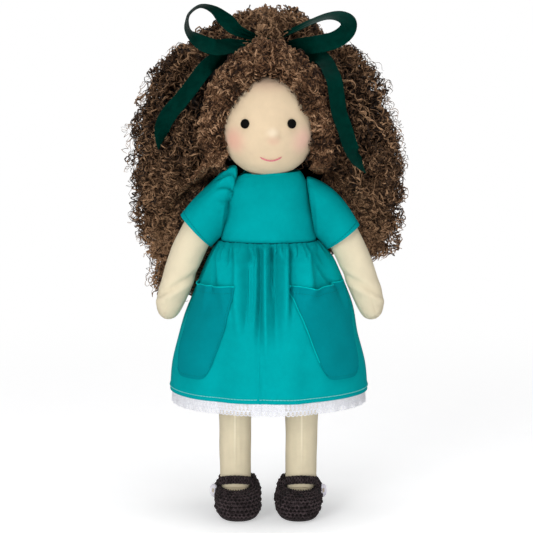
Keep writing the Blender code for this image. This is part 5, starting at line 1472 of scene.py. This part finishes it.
def make_ribbon(name):
    """A satin band along its path, pinched where it enters the knot and slightly cupped across."""
    tail = name.startswith("tail")
    steps, columns = 150, 13
    path = smooth(BOW[name], steps)
    places = KNOT + path[:, :3] * BOW_REACH
    ahead = unit(np.gradient(places, axis=0))
    back = np.array((0.0, 1.0, 0.0))
    level = unit(back - ahead * (ahead @ back)[:, None])
    turn = np.radians(path[:, 3:])
    side = level * np.cos(turn) + np.cross(ahead, level) * np.sin(turn)
    facing = np.cross(ahead, side)
    index = np.arange(steps) / (steps - 1)
    root = index if tail else np.minimum(index, 1 - index)
    width = RIBBON_WIDTH / 2 * np.minimum(1, 0.34 + 0.66 * ease(root, 0.0, 0.17))
    across = np.linspace(-1, 1, columns)
    slant = np.zeros((steps, columns))
    if tail:
        cut = 0.60 if name == "tail_right" else 0.75
        slant = -np.outer(ease(index, 0.80, 1.0), (across + 1) / 2) * RIBBON_WIDTH * cut
    points = places[:, None] + side[:, None] * (width[:, None] * across)[..., None] + ahead[:, None] * slant[..., None]
    fold = np.exp(-(root / 0.10)[:, None] ** 2) * np.cos(across * 7.5) * 0.0009
    cup = 0.00045 * across**2 + 0.00018 * wobble(points, 0.014, 480 + len(name)) + fold
    points = points + facing[:, None] * cup[..., None]
    if tail:
        points = np.concatenate([points[:-1], points[-1:] * 0.5 + points[-2:-1] * 0.5])
    ribbon = shell("bow_" + name, points, 0.00035, False, 26, 230)
    kind, side_name = name.split("_")
    finish(ribbon, satin, blend=HAIR_BLEND, replaces=(f"ribbon_{kind}_{side_name}",))


def make_knot():
    angle = np.linspace(-1.25, 1.25, 40)[:, None]
    turn = np.linspace(0, TURN, 72, endpoint=False)[None]
    pleat = 1 + 0.05 * np.cos(9 * turn + 2.0 * angle) + 0.03 * np.cos(5 * turn - 3 * angle)
    radius = 0.0056 * np.cos(angle) ** 0.8 * pleat
    points = KNOT + np.stack([0.0056 * np.sin(angle) + 0 * turn, radius * np.cos(turn), radius * np.sin(turn)], -1)
    knot = tube_surface("bow_knot", points, 30, 14, start=points[0].mean(0), end=points[-1].mean(0))
    turn_outward(knot)
    finish(knot, satin, blend=HAIR_BLEND, replaces=("ribbon_knot",))


make_knot()
for name in BOW:
    make_ribbon(name)


# ---------------------------------------------------------------- shoes and buttons

SHOE_X, SHOE_Y, SHOE_WIDE, SHOE_LONG = 0.0182, -0.0012, 0.0138, 0.0236


def stitch_relief(u, v):
    """Height of crochet stitches, slanted V pairs in rows that are shifted by half a stitch."""
    row = np.floor(v)
    across = np.mod(u + 0.5 * np.mod(row, 2), 1) - 0.5
    up = v - row
    lean = np.abs(across) * 1.1 - 0.28
    leg = np.exp(-(((up - 0.5) - lean) / 0.30) ** 2) * (0.35 + 0.65 * np.sin(math.pi * np.clip(np.abs(across) * 2, 0, 1)))
    return leg


def outline_ring(turn, wide, long, power=2.4):
    across, along = np.cos(turn), np.sin(turn)
    swell = (np.abs(across) ** power + np.abs(along) ** power) ** (-1 / power)
    return across * swell * wide, along * swell * long


def make_shoe(side, sign):
    columns = 400
    turn = np.linspace(0, TURN, columns, endpoint=False)[None]
    rows = 26
    up = np.linspace(0, 1, rows)[:, None]
    grow = 0.70 + 0.23 * np.sin(math.pi / 2 * up) ** 0.75
    x, y = outline_ring(turn, SHOE_WIDE, SHOE_LONG)
    stitches = 56
    relief = stitch_relief(turn / TURN * stitches + 0 * up, up * 1.6 + 0 * turn) * 0.0005
    rim = np.stack([x * grow, y * grow, 0.0001 + 0.0034 * up + 0 * turn], -1)
    away = unit(np.stack([x, y, 0 * x], -1))
    rim = rim + away * (relief - 0.0002)[..., None]
    base = [rim[0] * [s, s, 1] + [0, 0, 0.0] for s in (0.3, 0.7, 0.93)]
    rim = np.concatenate([base, rim, [rim[-1] * [s, s, 1] for s in (0.9, 0.6)]])
    rim = rim + [sign * SHOE_X, SHOE_Y, 0]
    sole = tube_surface(f"shoe_{side}_sole", rim, 56, 12, start=rim[0].mean(0), end=rim[-1].mean(0))
    turn_outward(sole)
    finish(sole, crochet, ride="leg_" + side, replaces=("shoe_sole_" + side,))

    rows = 120
    share = np.linspace(0, 1, rows)[:, None]
    lift = np.sin(share * math.pi / 2)
    inward = 1 - np.cos(share * math.pi / 2) ** 0.70
    bulge = 1 - 0.07 * ease(share, 0.34, 0.0)
    mouth_x, mouth_y = 0.0099 * np.cos(turn), 0.0128 * np.sin(turn)
    middle = np.array((sign * 0.0197, 0.0016))
    low = np.stack([sign * SHOE_X + x * bulge, SHOE_Y + y * bulge], -1)
    high = np.stack([middle[0] + mouth_x, middle[1] + mouth_y], -1)
    flat = low + (high - low) * inward[..., None]
    back = ease(np.sin(turn), -0.35, 0.55)
    rim_z = 0.0172 + 0.0046 * back
    z = 0.0034 + (rim_z - 0.0034) * lift
    points = np.concatenate([flat, z[..., None]], -1)
    normal = surface_normals(points, True)
    normal = normal * np.sign(np.sum(normal * (points - [sign * SHOE_X, SHOE_Y, 0.004]), -1, keepdims=True))
    wales, length = 36, 9.0
    around, along = turn / TURN * wales + 0 * share, share * length + 0 * turn
    uneven = np.random.default_rng(522 + sign).uniform(0.45, 1.5, (10, wales))
    swell = uneven[np.minimum(along.astype(int), 9), around.astype(int) % wales]
    relief = stitch_relief(around, along) * swell * 0.00125 * (1 - 0.3 * inward)
    edge = ease(share, 0.93, 0.99)
    relief = relief * (1 - edge) + edge * (0.0005 + 0.00035 * np.cos(turn * 40))
    relief = relief + 0.0004 * wobble(points, 0.012, 520 + sign)
    points = points + normal * relief[..., None]
    upper = shell(f"shoe_{side}_upper", points, 0.0016, True, wales, length, lambda p: p - [sign * SHOE_X, SHOE_Y, 0.004])
    finish(upper, crochet, ride="leg_" + side, replaces=("shoe_upper_" + side,))

    angle = np.linspace(-math.radians(96), math.radians(96), 150)[None]
    around = np.linspace(0, TURN, 28, endpoint=False)[:, None]
    thick, tall = 0.0012, 0.0026
    radius = 0.0111 + thick * np.cos(around) * (0.8 + 0.2 * np.abs(np.cos(around)))
    wave = 0.00034 * np.sin(angle * 26 + 2 * np.sin(around))
    fall = 0.0028 * np.sin(angle) ** 2 + 0.0050 * ease(np.abs(angle), 0.9, 1.65)
    height = 0.0230 + tall * np.sin(around) - fall + wave * 0.5
    radius = radius + wave + 0.0009 * ease(np.abs(angle), 1.0, 1.6)
    band = np.stack([sign * ANKLE_X + radius * np.sin(angle), LEG_Y - radius * np.cos(angle), height + 0 * angle], -1)
    band = band.transpose(1, 0, 2)
    strap = tube_surface(f"shoe_{side}_strap", band, 6, 40, start=band[0].mean(0), end=band[-1].mean(0))
    turn_outward(strap)
    finish(strap, crochet, ride="leg_" + side, replaces=("shoe_strap_" + side,))


def make_button(name, centre, axis, radius, ride, node):
    """A turned shell button with a raised rim, four holes' worth of crossed thread and a domed back."""
    r, h = radius, radius * 0.6
    profile = [(r * 0.55, 0.0), (r * 0.9, h * 0.10), (r, h * 0.42), (r * 0.96, h * 0.78), (r * 0.84, h * 0.96),
               (r * 0.74, h * 0.88), (r * 0.60, h * 0.66), (r * 0.30, h * 0.60), (r * 0.05, h * 0.60)]
    disc = lathe(name, centre, axis, profile, 56)
    turn_outward(disc)
    finish(disc, pearl, ride=ride, replaces=(node,))
    side, other = frames_along(np.array([[centre, np.add(centre, axis)]], float))
    side, other = side[0, 0], other[0, 0]
    t = np.linspace(-1, 1, 14)[:, None]
    paths = []
    for lean in (1, -1):
        for shift in (-0.05, 0.05):
            way = (side + other * lean) / math.sqrt(2)
            flank = (side - other * lean) / math.sqrt(2)
            rise = h * 0.60 + r * 0.07 * np.sqrt(np.maximum(0, 1 - t**2)) + (0.00008 if lean > 0 else 0)
            paths.append(np.asarray(centre) + way * t * r * 0.34 + flank * shift * r + np.asarray(axis) * rise)
    thread = tubes(name + "_thread", paths, r * 0.045, 6)
    finish(thread, cream_thread, ride=ride, replaces=(node,))


for side, sign in SIDES.items():
    make_shoe(side, sign)
    make_button(f"strap_button_{side}", (sign * 0.0323, 0.0024, 0.0139), unit(np.array((sign * 0.88, -0.45, 0.10))), 0.0041,
                "leg_" + side, "shoe_button_" + side)
for name, height, depth in (("upper", 0.1971, 0.0163), ("lower", 0.1776, 0.0181)):
    make_button(f"back_button_{name}_shell", (0, depth, height), (0, 1, 0), 0.0026, "torso", "back_button_" + name)
